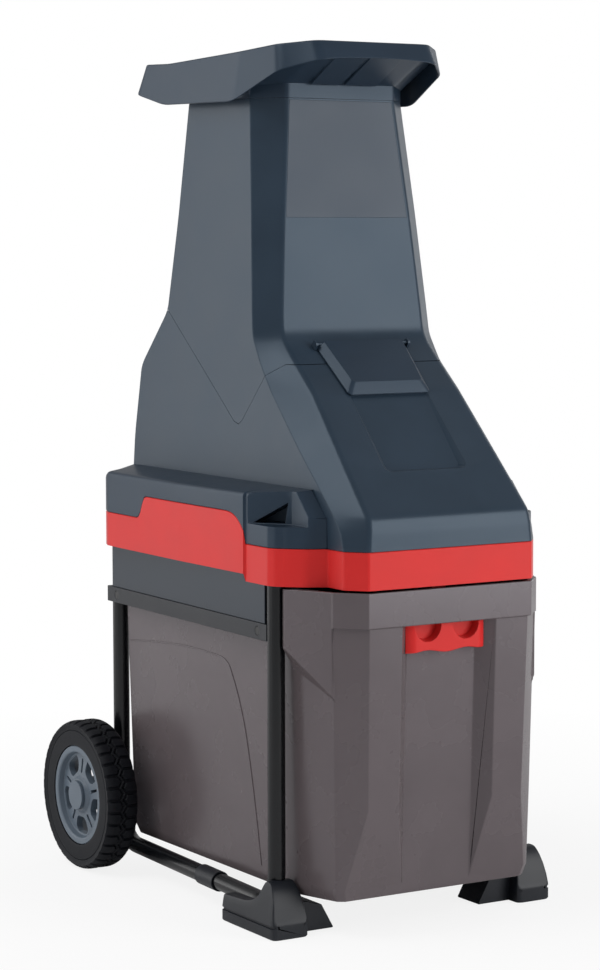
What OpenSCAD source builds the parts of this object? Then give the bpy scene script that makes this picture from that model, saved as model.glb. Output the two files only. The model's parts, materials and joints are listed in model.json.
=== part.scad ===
// Upright electric garden shredder with a feed funnel on top, a geared cutting roller inside,
// a tube frame with two feet and two wheels, and a pull-out collecting box.
// Lengths are in millimetres. X runs to the right, Y to the back, Z up from the floor.
// Depths along Y are measured from the front face of the nose and moved by nose_y.

/* [Feed lip] */
// height of the front edge of the feed lip
lip_top_z = 1000; // [960:1:1040]
// height of the rear part of the feed lip
lip_rear_z = 987; // [970:1:998]
// how far the lip stands out past the tower at its sides
lip_flare = 15; // [10:0.5:24]
// how far the front edge of the lip stands before the front panel
lip_reach = 82; // [70:0.5:95]
// how far the rear edge of the lip, the grip, stands behind the tower
grip_reach = 102; // [84:1:115]
// thickness of the lip walls
lip_wall = 4; // [3:0.5:6]

/* [Body] */
// height where the tower ends under the lip
tower_top_z = 938; // [925:1:945]
// how much narrower the tower is at its top, on each side
tower_taper = 25; // [20:0.5:34]
// how much narrower the body is at the waist, on each side
waist_taper = 8; // [4:0.5:16]
// half width of the body above the ledge
body_hw = 129; // [124:0.5:134]
// depth of the tower's front panel at the top
panel_top_y = 230; // [220:1:240]
// depth of the tower's front panel at its foot
panel_foot_y = 203; // [196:1:210]
// height of the foot of the front panel
panel_foot_z = 664; // [655:1:680]
// height of the top of the slope
slope_top_z = 603; // [596:1:610]
// depth of the top of the slope
slope_top_y = 131; // [124:1:138]
// height of the fold between nose and slope
fold_z = 468; // [460:1:480]
// how far the corners of the nose are cut back across the machine
nose_chamfer = 18.6; // [14:0.2:26]
// depth of the tower's rear wall at the top
tower_rear_y = 410; // [400:1:416]
// depth of the body's rear wall above the ledge
body_rear_y = 513; // [506:1:514]
// wall thickness of the shells
wall = 3.5; // [3:0.1:5]
// gap at the seams between shells
seam = 0.4; // [0.2:0.1:0.8]
// height of the seam across the front panel
apron_z = 801; // [770:1:830]

/* [Base] */
// height of the ledge against the body
ledge_z = 499; // [490:1:510]
// height of the ledge's outer edge
ledge_edge_z = 493; // [480:1:498]
// how far the base stands out past the middle of the front posts
base_over = 11.5; // [11:0.5:16]
// depth of the base's rear wall
base_rear_y = 520; // [517:1:530]
// height of the bottom edge at the front
base_z = 393.4; // [392:0.2:396]
// height of the bottom edge at the sides
base_side_z = 402; // [399:0.5:406]
// height of the top of the red band at the front
band_z = 435.5; // [428:0.5:445]
// height of the raised part of the red band at the sides
band_high_z = 470; // [460:1:478]
// thickness of the red band
band_t = 3; // [2:0.2:4]

/* [Frame] */
// diameter of the frame tubes
tube_d = 20; // [18:0.5:22]
// wall thickness of the frame tubes
tube_wall = 1.6; // [1.2:0.1:3]
// how far the middle of the front posts stands outside the box
post_out = 14.5; // [14.3:0.1:18]
// depth of the front posts
front_post_y = 101.6; // [98:0.2:106]
// how far the middle of the rear posts stands inside the line of the box
rear_post_in = 2; // [0:0.5:4]
// depth of the rear posts and the axle
rear_post_y = 505; // [502:0.5:508]
// height of the middle of the bottom runs
run_z = 30; // [26:0.5:36]
// bend radius of the tubes at their middle line
bend_r = 42; // [35:1:55]
// height of the post ends inside the base
post_top_z = 432; // [425:1:440]
// bottom of the rails
rail_z = 330.2; // [320:0.2:335]
// height of the rails
rail_h = 19; // [15:0.5:22]
// gap between the box and the rails
rail_gap = 0.6; // [0.4:0.1:2]
// how far the feet stand out past the middle of the front posts
foot_out = 24; // [20:0.5:30]
// front of the feet
foot_y = 70; // [64:1:76]
// length of the feet
foot_len = 117; // [105:1:130]
// height of the feet at the posts
foot_h = 62; // [52:1:75]

/* [Wheels] */
// outside diameter of the tyres
tyre_d = 184; // [170:1:200]
// width of the tyres
tyre_w = 41; // [34:0.5:42]
// how far the outside of the wheels stands from the middle of the rear posts
wheel_out = 66; // [64:0.5:72]
// diameter of the rim
rim_d = 119; // [105:1:130]
// diameter of the axle
axle_d = 12; // [10:0.5:14]

/* [Box] */
// half width of the box
box_hw = 152; // [140:0.5:165]
// how far the rim flange stands out over the rails
flange = 3.6; // [2:0.1:3.8]
// bottom of the box
box_z = 43; // [42.5:0.5:46]
// top of the box walls
box_top_z = 390.6; // [385:0.2:391.5]
// rear of the box
box_rear_y = 492; // [470:1:493]
// front of the box under its band
box_front_y = 3; // [2:0.5:6]
// lean of the box front down to its knee
box_lean = 7; // [4:1:10]
// height of the knee
box_knee_z = 147; // [140:1:160]
// how far the front runs back from the knee to the bottom
box_run_back = 23; // [18:1:26]
// wall thickness of the box
box_wall = 3; // [2.4:0.1:4]
// half width of the recess in the box front
recess_hw = 63; // [58:0.5:68]
// depth of the recess
recess_d = 17; // [12:0.5:19]
// bottom of the band on the box front
box_band_z = 351; // [350.5:0.5:356]
// height of the latch
latch_h = 33; // [28:0.5:36]
// travel of the latch
latch_travel = 8; // [5:0.5:12]

/* [Drive] */
// place of the roller axis across the machine
roller_x = -12; // [-16:0.5:-8]
// height of the roller axis
roller_z = 476; // [474:0.5:480]
// outside diameter of the cutting roller
roller_d = 90; // [80:1:92]
// front face of the cutting chamber
chamber_y = 274; // [268:1:280]
// thickness of the chamber plates
plate_t = 8; // [6:0.5:10]
// inside length of the cutting chamber
chamber_len = 102; // [96:0.5:104]
// diameter of the roller shaft
roller_shaft_d = 20; // [16:0.5:24]
// tooth module of the gears
gear_m = 1.5; // [1.4:0.02:1.5]
// width of a gear
gear_w = 8; // [6:0.5:9]
// height of the motor axis
motor_z = 552; // [548:0.5:556]
// outside diameter of the motor case
motor_d = 108; // [96:1:110]
// length of the motor case
motor_len = 60; // [56:0.5:61]
// diameter of the motor shaft
motor_shaft_d = 10; // [8:0.5:11]
// diameter of the adjusting screw
screw_d = 12; // [10:0.5:14]
// diameter of the adjusting knob
knob_d = 46; // [36:1:56]
// running clearance round shafts
run_gap = 0.05; // [0.03:0.01:0.09]
// slack of fixed fits
fit_gap = 0.02; // [0.01:0.01:0.05]

/* [Controls] */
// half width of the hatch at the rear
hatch_rear_hw = 59; // [56:0.5:64]
// half width of the hatch at the front
hatch_front_hw = 51; // [49:0.5:54]
// height of the hatch above the shelf
hatch_h = 9.5; // [9:0.5:12]
// half width of the control opening
panel_hw = 42; // [38:0.5:44]
// diameter of the start and stop buttons
button_d = 18; // [14:0.5:20]

/* [Hidden] */
$fn = 64;
front_post_x = box_hw + post_out;
rear_post_x = box_hw - rear_post_in;
base_front_hw = front_post_x + base_over;
base_side_hw = base_front_hw + 2.5;
base_rear_hw = base_front_hw - 2;
rail_inner_x = box_hw + rail_gap;
foot_hw = front_post_x + foot_out;
wheel_face_x = rear_post_x + wheel_out;
flange_hw = box_hw + flange;
tower_top_hw = body_hw - tower_taper;
waist_hw = body_hw - waist_taper;
nose_side_hw = body_hw - 1;
nose_hw = nose_side_hw - nose_chamfer;
panel_top_hw = nose_hw - 35.9;
lip_front_hw = panel_top_hw + 2.5;
lip_side_hw = tower_top_hw + lip_flare;
lip_front_y = panel_top_y - lip_reach;
lip_rear_y = tower_rear_y + grip_reach;
mid_y = (rear_post_y + tyre_d / 2) / 2;
nose_y = -mid_y;
far = 2 * lip_top_z;
rail_top_z = rail_z + rail_h;
toe = atan2(front_post_x - rear_post_x, rear_post_y - front_post_y);
side_len = norm([front_post_x - rear_post_x, rear_post_y - front_post_y]);
tube_r = tube_d / 2;
tyre_r = tyre_d / 2;
axle_z = tyre_r;
joint_s = 160;
sleeve_len = 44;
plate_z = 404;
plate_h = 6;
deck_z = plate_z + plate_h;
shelf_run = panel_foot_y - slope_top_y;
shelf_rise = panel_foot_z - slope_top_z;
shelf_angle = atan2(shelf_rise, shelf_run);
shelf_top_z = slope_top_z + 0.51 * shelf_rise;
shelf_top_y = slope_top_y + 0.51 * shelf_run;
foot_z = band_z + 0.5;
nose_z = fold_z - 10;
body_z = fold_z + 18;
curve_z = slope_top_z + 0.74 * shelf_rise;
waist_z = panel_foot_z + 26;
flank_z = slope_top_z - 66;
rear_bend_z = shelf_top_z - 12;
ring_zs = [band_z + seam, nose_z, fold_z + 4, body_z, slope_top_z, shelf_top_z, curve_z, panel_foot_z,
    waist_z,
    apron_z, tower_top_z];

// The body is described by how far each edge stands back or out at each height.
front_line = [[foot_z, 0], [nose_z, 0.8], [fold_z + 4, 4], [body_z, 17.5], [slope_top_z, slope_top_y],
    [shelf_top_z, shelf_top_y], [curve_z, slope_top_y + 0.74 * shelf_run], [panel_foot_z, panel_foot_y],
    [waist_z, panel_foot_y + 2], [apron_z, panel_top_y - 14], [tower_top_z, panel_top_y]];
edge_line = [[foot_z, 22], [nose_z, 28], [fold_z + 4, 40], [body_z, 54], [slope_top_z, slope_top_y + 50],
    [shelf_top_z, shelf_top_y + 39], [curve_z, panel_foot_y + 13], [panel_foot_z, panel_foot_y + 23],
    [waist_z, panel_foot_y + 26.5], [apron_z, panel_top_y + 13], [tower_top_z, panel_top_y + 32]];
panel_line = [[foot_z, nose_hw], [slope_top_z, nose_hw - 10.4], [waist_z, nose_hw - 13.4],
    [apron_z, nose_hw - 22.4], [tower_top_z, panel_top_hw]];
side_line = [[foot_z, nose_side_hw], [body_z, body_hw], [flank_z, body_hw], [slope_top_z, body_hw - 4],
    [waist_z, waist_hw], [apron_z, waist_hw - 0.43 * (waist_hw - tower_top_hw)], [tower_top_z, tower_top_hw]];
rear_line = [[foot_z, body_rear_y + 1], [body_z, body_rear_y], [rear_bend_z, body_rear_y - 15],
    [waist_z, tower_rear_y + 26], [apron_z, tower_rear_y + 11], [tower_top_z, tower_rear_y]];

roller_y0 = chamber_y + plate_t + 3;
roller_y1 = chamber_y + plate_t + chamber_len - 3;
rear_plate_y = chamber_y + plate_t + chamber_len;
gear_y = rear_plate_y + plate_t + 3;
gear2_y = gear_y + gear_w + 2;
gearbox_y = gear2_y + gear_w + 2;
gearbox_t = 4;
motor_y = gearbox_y + gearbox_t + 0.2;
n_motor = 12;
n_first = 60;
n_second = 11;
n_roller = 77;
reach_second = gear_m * (n_second + n_roller) / 2;
reach_first = gear_m * (n_motor + n_first) / 2;
span = norm([roller_x, motor_z - roller_z]);
along = (reach_second * reach_second - reach_first * reach_first + span * span) / (2 * span);
across = sqrt(reach_second * reach_second - along * along);
idler_x = roller_x - along * roller_x / span + across * (motor_z - roller_z) / span;
idler_z = roller_z + along * (motor_z - roller_z) / span + across * roller_x / span;
idler_d = 8;
bearing_d = roller_shaft_d + 18;

screw_z = 455;
screw_y = chamber_y + plate_t + chamber_len / 2;
press_x = roller_x + roller_d / 2 + 8;
press_t = 14;
press_travel = 6;
chamber_hw = body_hw - 29;
chamber_top_z = 532;
bracket_x = chamber_hw;
bracket_t = 14;

recess_y = box_front_y + recess_d;
latch_t = 6.5;
latch_z = box_band_z - 0.5 - latch_h;
latch_stem_hw = 9;
switch_y = recess_y + 7;
plunger_d = 6;
plunger_tip_z = 392;

module from_nose() {
    translate([0, nose_y, 0]) children();
}

module mirrored(flip) {
    if (flip) mirror([1, 0, 0]) children();
    else children();
}

module across_x(x0, x1) {
    rotate([90, 0, 90]) translate([0, 0, x0]) linear_extrude(x1 - x0) children();
}

module along_y(y0, y1) {
    translate([0, y1, 0]) rotate([90, 0, 0]) linear_extrude(y1 - y0) children();
}

module up_z(z0, z1) {
    translate([0, 0, z0]) linear_extrude(z1 - z0) children();
}

module rod_y(x, z, y0, y1, d) {
    translate([x, y0, z]) rotate([-90, 0, 0]) cylinder(h = y1 - y0, d = d);
}

module rod_x(y, z, x0, x1, d) {
    translate([x0, y, z]) rotate([0, 90, 0]) cylinder(h = x1 - x0, d = d);
}

function both(points) = concat(points, [for (i = [len(points) - 1:-1:0]) [-points[i][0], points[i][1]]]);

// Skin between rings that have the same number of points, closed at both ends.
module loft(rings) {
    n = len(rings[0]);
    m = len(rings);
    sides = [for (k = [0:m - 2], i = [0:n - 1], t = [0, 1])
        let (a = k * n + i, b = k * n + (i + 1) % n)
            t == 0 ? [a, a + n, b] : [b, a + n, b + n]];
    polyhedron([for (r = rings) each r],
        concat([[for (i = [0:n - 1]) i]], sides, [[for (i = [n - 1:-1:0]) (m - 1) * n + i]]), 4);
}

// Outline of the body at one height, set in by the given amount, from the front right.
function body_outline(z, inset) =
    let (q = lookup(z, panel_line) - 0.41 * inset, f = lookup(z, front_line) + inset,
        s = lookup(z, side_line) - inset, e = lookup(z, edge_line) + 0.41 * inset,
        r = lookup(z, rear_line) - inset)
        both([[q, f], [s, e], [s, r - 5], [s - 1.5, r - 1.5], [s - 5, r]]);

function at_height(points, z) = [for (p = points) [p[0], p[1], z]];

module body_solid() {
    loft([for (z = ring_zs) at_height(body_outline(z, 0), z)]);
}

module body_hollow() {
    drop = 2.5;
    loft(concat([at_height(body_outline(band_z, wall), band_z - 20)],
        [for (z = ring_zs) at_height(body_outline(z, wall), z - drop)],
        [at_height(body_outline(tower_top_z, wall), tower_top_z + 20)]));
}

// Region above the line where the hopper meets the lower housing.
module hopper_region(lower) {
    dip = [shelf_top_y + 83, shelf_top_z - 71 - lower];
    rise = [tower_rear_y + 21, waist_z + 1 - lower];
    across_x(-far, far) polygon([[-far, shelf_top_z - lower], [shelf_top_y + 12, shelf_top_z - lower],
        [shelf_top_y + 27, shelf_top_z - 12 - lower], dip + [-8, 5], dip, dip + [11, 3], rise, [far, rise[1]],
        [far, far], [-far, far]]);
}

module apron_region(gap) {
    low_hw = nose_hw - 26.4 - gap;
    high_hw = panel_top_hw - 3.5 - gap;
    along_y(panel_top_y - 40, panel_top_y + 15) polygon([[-low_hw, apron_z + gap], [low_hw, apron_z + gap],
        [high_hw, tower_top_z - 2 - gap], [-high_hw, tower_top_z - 2 - gap]]);
}

module hopper() {
    color("#3b4652") from_nose() difference() {
        intersection() {
            body_solid();
            hopper_region(0);
        }
        body_hollow();
        apron_region(0);
    }
}

module front_apron() {
    color("#4a515b") from_nose() intersection() {
        difference() {
            body_solid();
            body_hollow();
        }
        apron_region(seam);
    }
}

// The lip is a shallow funnel: a skirt that follows the mouth, on a floor that leads into the tower.
lip_mid_y = (lip_front_y + lip_rear_y) / 2;
lip_low_plan = [[lip_front_hw + 1.5, lip_front_y], [lip_side_hw - 8, lip_front_y + 38.5],
    [lip_side_hw + 6, panel_top_y + 38], [lip_side_hw + 6, tower_rear_y + 24], [lip_side_hw + 5,
        lip_rear_y - 10],
    [lip_side_hw - 4, lip_rear_y]];
lip_top_plan = [[lip_front_hw, lip_front_y + 12.5], [lip_side_hw - 10.5, lip_front_y + 45],
    [lip_side_hw, panel_top_y + 32], [lip_side_hw + 2, tower_rear_y + 18], [lip_side_hw + 2, lip_rear_y - 28],
    [lip_side_hw - 7, lip_rear_y - 20]];
lip_low = [for (drop = [23, 34, 66, 63, 48, 44]) lip_top_z - drop];
lip_high = [lip_top_z, lip_top_z - 4, lip_top_z - 9, lip_rear_z - 1, lip_rear_z + 1, lip_rear_z + 1];
lip_foot = [[panel_top_hw + 0.5, panel_top_y - 0.5], [tower_top_hw + 0.5, panel_top_y + 32],
    [tower_top_hw + 0.5, panel_top_y + 55], [tower_top_hw + 0.5, tower_rear_y - 32],
    [tower_top_hw + 0.5, tower_rear_y - 4.5], [tower_top_hw - 4.5, tower_rear_y + 0.5]];

function lip_ring(points, zs) = concat([for (i = [0:5]) [points[i][0], points[i][1], zs[i]]],
    [for (i = [5:-1:0]) [-points[i][0], points[i][1], zs[i]]]);

function level(z) = [for (i = [0:5]) z];

function toward(points, amount) = [for (p = points) let (dx = p[0], dy = p[1] - lip_mid_y, d = norm([dx, dy]))
    [p[0] - dx / d * amount, p[1] - dy / d * amount]];

// Plan of the lip's leaning wall at one height.
function lip_at(z) = [for (i = [0:5]) let (t = (z - lip_low[i]) / (lip_high[i] - lip_low[i]))
    lip_low_plan[i] * (1 - t) + lip_top_plan[i] * t];

module feed_lip() {
    foot = tower_top_z + 0.3;
    color("#313c47") from_nose() difference() {
        intersection() {
            loft([lip_ring(lip_foot, level(foot)), lip_ring(lip_low_plan, lip_low),
                lip_ring(lip_at(lip_top_z + 20), level(lip_top_z + 20))]);
            across_x(-far, far) polygon([[lip_front_y - 10, 0], [lip_front_y - 10, lip_top_z],
                [lip_front_y + 12.5, lip_top_z], [lip_front_y + 45, lip_top_z - 4], [panel_top_y + 32,
                    lip_top_z - 9],
                [tower_rear_y + 18, lip_rear_z - 1], [lip_rear_y - 28, lip_rear_z + 1], [lip_rear_y + 10,
                    lip_rear_z + 1],
                [lip_rear_y + 10, 0]]);
        }
        loft([lip_ring(toward(lip_foot, lip_wall), level(foot - 20)),
            lip_ring(toward(lip_foot, lip_wall), level(foot + lip_wall)),
            lip_ring(toward(lip_low_plan, lip_wall), [for (z = lip_low) z + lip_wall]),
            lip_ring(toward(lip_at(lip_top_z + 24), lip_wall), level(lip_top_z + 24))]);
    }
}

module screw_passage() {
    rod_x(screw_y, screw_z, bracket_x, base_side_hw + 20, screw_d + 4);
}

module on_shelf() {
    translate([0, slope_top_y + 0.255 * shelf_run, slope_top_z + 0.255 * shelf_rise])
        rotate([shelf_angle, 0, 0]) children();
}

module on_rear_wall(x, z) {
    translate([x, lookup(z, rear_line), z])
        rotate([atan2(15, rear_bend_z - body_z), 0, 0]) children();
}

module lower_housing() {
    color("#36414d") from_nose() difference() {
        body_solid();
        body_hollow();
        hopper_region(seam);
        on_shelf() translate([-panel_hw, -19, -20]) cube([2 * panel_hw, 38, 40]);
        label_recess();
        screw_passage();
        on_rear_wall(60, 545) translate([-20, -20, -15]) cube([40, 40, 30]);
        on_rear_wall(-60, 545) rotate([90, 0, 0]) cylinder(h = 40, d = 18.2, center = true);
    }
}

// Shallow plain field on the slope.
module label_recess() {
    whole = [slope_top_y - 17.5, slope_top_z - body_z];
    low = [slope_top_y, slope_top_z] - 0.745 * whole;
    high = [slope_top_y, slope_top_z] - 0.035 * whole;
    lean = atan2(high[1] - low[1], high[0] - low[0]);
    translate([0, low[0], low[1]]) rotate([lean, 0, 0]) translate([-57, 4, -1.6])
        cube([114, norm(high - low) - 8, 10]);
}

hatch_pin_y = 51;
hatch_pin_z = 5.6;

// Wedge-sided lid that lies on the shelf, with a hinge bore near its round rear end.
module hatch() {
    color("#2c3640") from_nose() on_shelf() difference() {
        intersection() {
            across_x(-80, 80) polygon([[-31, 0.6], [-30.5, 2], [-15, hatch_h], [48, hatch_h + 0.6], [53,
                hatch_h],
                [56, 6.2], [54.2, 2], [50, 0.8], [40, 0.6]]);
            loft([at_height(both([[hatch_front_hw + 4, -32], [hatch_rear_hw + 2, 57]]), -1),
                at_height(both([[hatch_front_hw - 3, -32], [hatch_rear_hw - 2, 57]]), hatch_h + 4)]);
        }
        translate([-panel_hw - 1, -17, -5]) cube([2 * panel_hw + 2, 41, hatch_h + 1.5]);
        rod_x(hatch_pin_y, hatch_pin_z, -100, 100, 4 + 2 * run_gap);
    }
}

module hatch_pin() {
    color("#2c3640") from_nose() on_shelf() union() {
        rod_x(hatch_pin_y, hatch_pin_z, -hatch_rear_hw - 4, hatch_rear_hw + 4, 4);
        for (s = [-1, 1]) translate([s * (hatch_rear_hw + 4), 0, 0])
            across_x(-1.5, 1.5) polygon([[46, 0.7], [56, 0.7], [55, 7.4], [53, 9], [49, 9], [47, 7.4]]);
    }
}

// Plan of the base on the right side, from the nose to the rear wall, set in by the given amount.
function base_half(d) = [[nose_side_hw - 7, 54 + d], [base_front_hw - 28 - 0.3 * d, 66 + d],
    [base_front_hw - 10 - 0.7 * d, 83 + 0.7 * d],
    [base_front_hw - 3 - 0.9 * d, 91 + 0.4 * d], [base_front_hw - d, 101 + 0.2 * d], [base_front_hw - d, 148],
    [base_side_hw - d, 152], [base_side_hw - d, 300], [base_rear_hw - d, 489],
        [base_rear_hw - 9 - 0.7 * d, 511 - 0.7 * d],
    [base_rear_hw - 31, base_rear_y - d]];
base_edges = [for (drop = [0, 0, 0, 0, 0, 0, 0, 0, 0, 5, 8]) ledge_edge_z - drop];
function ledge_inner(d) = concat([for (y = [80, 84, 90, 98, 110, 150, 170, 300,
    478]) [nose_side_hw - 3 - d, y]],
    [[body_hw - 8 - d, body_rear_y - 8 - d], [body_hw - 24, body_rear_y - 3 - d]]);
ledge_inner_zs = [for (i = [0:10]) ledge_z];

function whole_ring(points, zs) = concat([for (i = [0:len(points) - 1]) [points[i][0], points[i][1], zs[i]]],
    [for (i = [len(points) - 1:-1:0]) [-points[i][0], points[i][1], zs[i]]]);

function same(z) = [for (i = [0:10]) z];

module base_solid(d) {
    loft([whole_ring(base_half(d), same(band_z - 60 - d)),
        whole_ring(base_half(d), [for (z = base_edges) z - d]),
        whole_ring(ledge_inner(d), [for (z = ledge_inner_zs) z - d]),
        whole_ring(ledge_inner(d), same(ledge_z + 6 + d))]);
}

block_z = ledge_edge_z - 33.5;
cheek_z = ledge_edge_z - 23;
block_inner_x = nose_side_hw + 19;

// Room over the front blocks and the slanted cheeks beside the nose, grown for the skin round it.
module block_room(grow) {
    for (s = [-1, 1]) scale([s, 1, 1]) {
        up_z(block_z - grow, far) polygon([[far, 159 + 1.7 * grow], [base_side_hw + 8, 159 + 1.7 * grow],
            [base_side_hw - 17.5 - 0.6 * grow, 123 + 1.2 * grow], [block_inner_x - grow, 118.5 + grow],
            [block_inner_x - grow, 0], [far, 0]]);
        translate([nose_side_hw, 56, cheek_z - grow]) rotate([0, 0, 25]) across_x(-24, 34) polygon([[-70, 0],
            [0, 0], [24 + 0.4 * grow, 28.5 + 0.4 * grow], [24 + 0.4 * grow, far], [-70, far]]);
    }
}

// Side view of the red band: low in front, raised along the side.
module band_region(grow) {
    low_z = band_high_z - 27 + grow;
    across_x(-far, far) polygon([[-far, base_z - far], [-far, band_z + grow], [149, band_z + grow],
        [150, band_high_z - 18 + grow], [184, band_high_z + grow], [391, band_high_z + grow], [404, low_z],
        [far, low_z], [far, base_z - far]]);
}

// Ring plan of the band with the nose in front of the side blocks.
function band_plan(d) = both(concat([[nose_hw - 0.41 * d, d], [nose_side_hw - d, 22 + 0.41 * d],
    [nose_side_hw - d, 54 + d]], [for (i = [1:10]) base_half(d)[i]]));

module bottom_step() {
    translate([-far, 150, base_side_z - far]) cube([2 * far, far, far]);
}

module base_skirt() {
    color("#2b343d") from_nose() difference() {
        base_solid(0);
        block_room(0);
        difference() {
            base_solid(wall);
            block_room(wall);
        }
        loft([for (z = [band_z - 70, fold_z + 2, body_z, flank_z]) at_height(body_outline(z, -seam), z)]);
        band_region(0.3);
        for (s = [-1, 1]) translate([s * (front_post_x - 10.5) - 8, front_post_y - 23.6, block_z - 30])
            cube([16, 40, 60]);
        screw_passage();
    }
}

// Room round the tops of the four posts.
module post_room() {
    for (s = [-1, 1]) {
        translate([s * front_post_x, front_post_y, 380]) cylinder(h = post_top_z - 379, r = tube_r + 0.3);
        translate([s * rear_post_x, rear_post_y, 380]) cylinder(h = post_top_z - 379, r = tube_r + 0.3);
    }
}

module red_band() {
    color("#c93a37") from_nose() difference() {
        intersection() {
            up_z(base_z, band_high_z + 10) polygon(band_plan(0));
            band_region(0);
        }
        up_z(base_z - 20, band_high_z + 20) polygon(band_plan(band_t));
        bottom_step();
        post_room();
        screw_passage();
    }
}

module base_plate() {
    color("#2a2f36") from_nose() difference() {
        union() {
            up_z(plate_z, deck_z) polygon(band_plan(band_t + 0.2));
            intersection() {
                up_z(base_z + 10, base_z + 41) polygon(band_plan(band_t + 0.2));
                for (s = [-1, 1]) {
                    translate([s * front_post_x, front_post_y, base_z]) cylinder(h = 60, d = tube_d + 6);
                    translate([s * rear_post_x, rear_post_y, base_z]) cylinder(h = 60, d = tube_d + 6);
                }
            }
        }
        for (s = [-1, 1]) {
            translate([s * front_post_x, front_post_y, 380]) cylinder(h = post_top_z - 380 + 0.1,
                r = tube_r + fit_gap);
            translate([s * rear_post_x, rear_post_y, 380]) cylinder(h = post_top_z - 380 + 0.1,
                r = tube_r + fit_gap);
        }
        translate([roller_x - 50, chamber_y + plate_t, 390]) cube([96, chamber_len, 40]);
        translate([0, switch_y, 390]) cylinder(h = 40, d = plunger_d + 2 * run_gap);
    }
}

module box_guide(flip) {
    color("#4b4f57") from_nose() mirrored(flip) intersection() {
        up_z(rail_top_z + 0.05, base_side_z - 0.1) polygon([[-front_post_x - 8, front_post_y + 11.4],
            [-rear_post_x - 12.6, rear_post_y - 3], [-rear_post_x - 10.4, rear_post_y - 3],
            [-front_post_x - 5.8, front_post_y + 11.4]]);
        across_x(-far, 0) polygon([[0, rail_z - 20], [rear_post_y - 9, rail_z - 20],
            [rear_post_y + 1, rail_top_z + 8], [rear_post_y + 1, deck_z], [0, deck_z]]);
    }
}

module box_guide_left() {
    box_guide(false);
}

module box_guide_right() {
    box_guide(true);
}

// Places a side frame, drawn with Y along its run from the front post.
module on_side(flip) {
    mirrored(flip) translate([-front_post_x, front_post_y, 0]) rotate([0, 0, -toe]) children();
}

module tube_ring(r) {
    difference() {
        circle(r = r);
        circle(r = tube_r - tube_wall);
    }
}

module front_tube(flip) {
    color("#23272e") from_nose() on_side(flip) union() {
        translate([0, 0, run_z + bend_r]) linear_extrude(post_top_z - run_z - bend_r) tube_ring(tube_r);
        translate([0, bend_r, run_z + bend_r]) rotate([90, 0, 90]) rotate([0, 0, 180])
            rotate_extrude(angle = 90) translate([bend_r, 0]) tube_ring(tube_r);
        translate([0, bend_r, run_z]) rotate([-90, 0,
            0]) linear_extrude(joint_s - bend_r - 0.1) tube_ring(tube_r);
    }
}

module front_tube_left() {
    front_tube(false);
}

module front_tube_right() {
    front_tube(true);
}

module rear_tube(flip) {
    color("#23272e") from_nose() difference() {
        on_side(flip) union() {
            translate([0, side_len, run_z + bend_r]) linear_extrude(post_top_z - run_z - bend_r) tube_ring(tube_r);
            translate([0, side_len - bend_r, run_z + bend_r]) rotate([90, 0, 90]) rotate([0, 0, 270])
                rotate_extrude(angle = 90) translate([bend_r, 0]) tube_ring(tube_r);
            translate([0, joint_s + 0.1, run_z]) rotate([-90, 0, 0])
                linear_extrude(side_len - bend_r - joint_s - 0.1) tube_ring(tube_r);
        }
        rod_x(rear_post_y, axle_z, -250, 250, axle_d + 2 * fit_gap);
    }
}

module rear_tube_left() {
    rear_tube(false);
}

module rear_tube_right() {
    rear_tube(true);
}

module sleeve(flip) {
    color("#1d2126") from_nose() on_side(flip) translate([0, joint_s - sleeve_len / 2,
        run_z]) rotate([-90, 0, 0])
        difference() {
            cylinder(h = sleeve_len, r = tube_r + 2);
            translate([0, 0, -1]) cylinder(h = sleeve_len + 2, r = tube_r + fit_gap);
        }
}

module sleeve_left() {
    sleeve(false);
}

module sleeve_right() {
    sleeve(true);
}

// Channel for the post and its bend in a foot, and the bore for the run behind it.
module tube_space(flip) {
    slack = 0.3;
    on_side(flip) {
        translate([-tube_r - slack, -tube_r - slack, run_z - tube_r - slack])
            cube([tube_d + 2 * slack, tube_r + bend_r + 20, 200]);
        translate([0, bend_r, run_z]) rotate([-90, 0, 0]) cylinder(h = 200, r = tube_r + fit_gap);
    }
}

module foot(flip) {
    foot_end = foot_y + foot_len;
    color("#20242a") from_nose() difference() {
        union() {
            mirrored(flip) intersection() {
                across_x(-220, 0) polygon([[foot_y, 0], [foot_end, 0], [foot_end, foot_h / 2],
                    [foot_y + 67, foot_h / 2 + 2.5], [foot_y + 52, foot_h / 2 + 6], [foot_y + 42,
                        foot_h / 2 + 12],
                    [foot_y + 36, foot_h - 10], [foot_y + 32, foot_h - 3], [foot_y + 28, foot_h],
                        [foot_y + 22, foot_h],
                    [foot_y + 15, foot_h - 6], [foot_y + 8, 44], [foot_y + 3, 24], [foot_y, 16]]);
                along_y(0, 300) polygon([[-foot_hw, 0], [-foot_hw, 18], [-foot_hw + 8, foot_h + 1],
                    [-foot_hw + 39, foot_h + 1], [-foot_hw + 47.5, 16], [-foot_hw + 47.5, 0]]);
                up_z(-1, 100) polygon([[-foot_hw + 8, foot_y], [-foot_hw + 47.5, foot_y],
                    [-foot_hw + 47.5, foot_end],
                    [-foot_hw + 4, foot_end],
                    [-foot_hw, foot_end - 6], [-foot_hw, foot_y + 9]]);
            }
            on_side(flip) translate([0, bend_r + 20, run_z]) rotate([-90, 0, 0]) cylinder(h = 64,
                r = tube_r + 3.5);
            mirrored(flip) along_y(foot_y + 18, foot_y + 62) polygon([[-foot_hw + 42, 0],
                [-foot_hw + 90.5, 0],
                [-foot_hw + 90.5, 2], [-foot_hw + 75.5, 29], [-foot_hw + 54, 35], [-foot_hw + 42, 35]]);
        }
        tube_space(flip);
    }
}

module foot_left() {
    foot(false);
}

module foot_right() {
    foot(true);
}

rail_front_x = front_post_x + 9.9;
rail_rear_x = rear_post_x + 14.4;
rail_front_y = front_post_y + 4.4;
rail_rear_y = rear_post_y + 8;

function rail_face_x(y) = rail_front_x - (y - rail_front_y) * (rail_front_x - rail_rear_x) / (rail_rear_y - rail_front_y);

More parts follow.
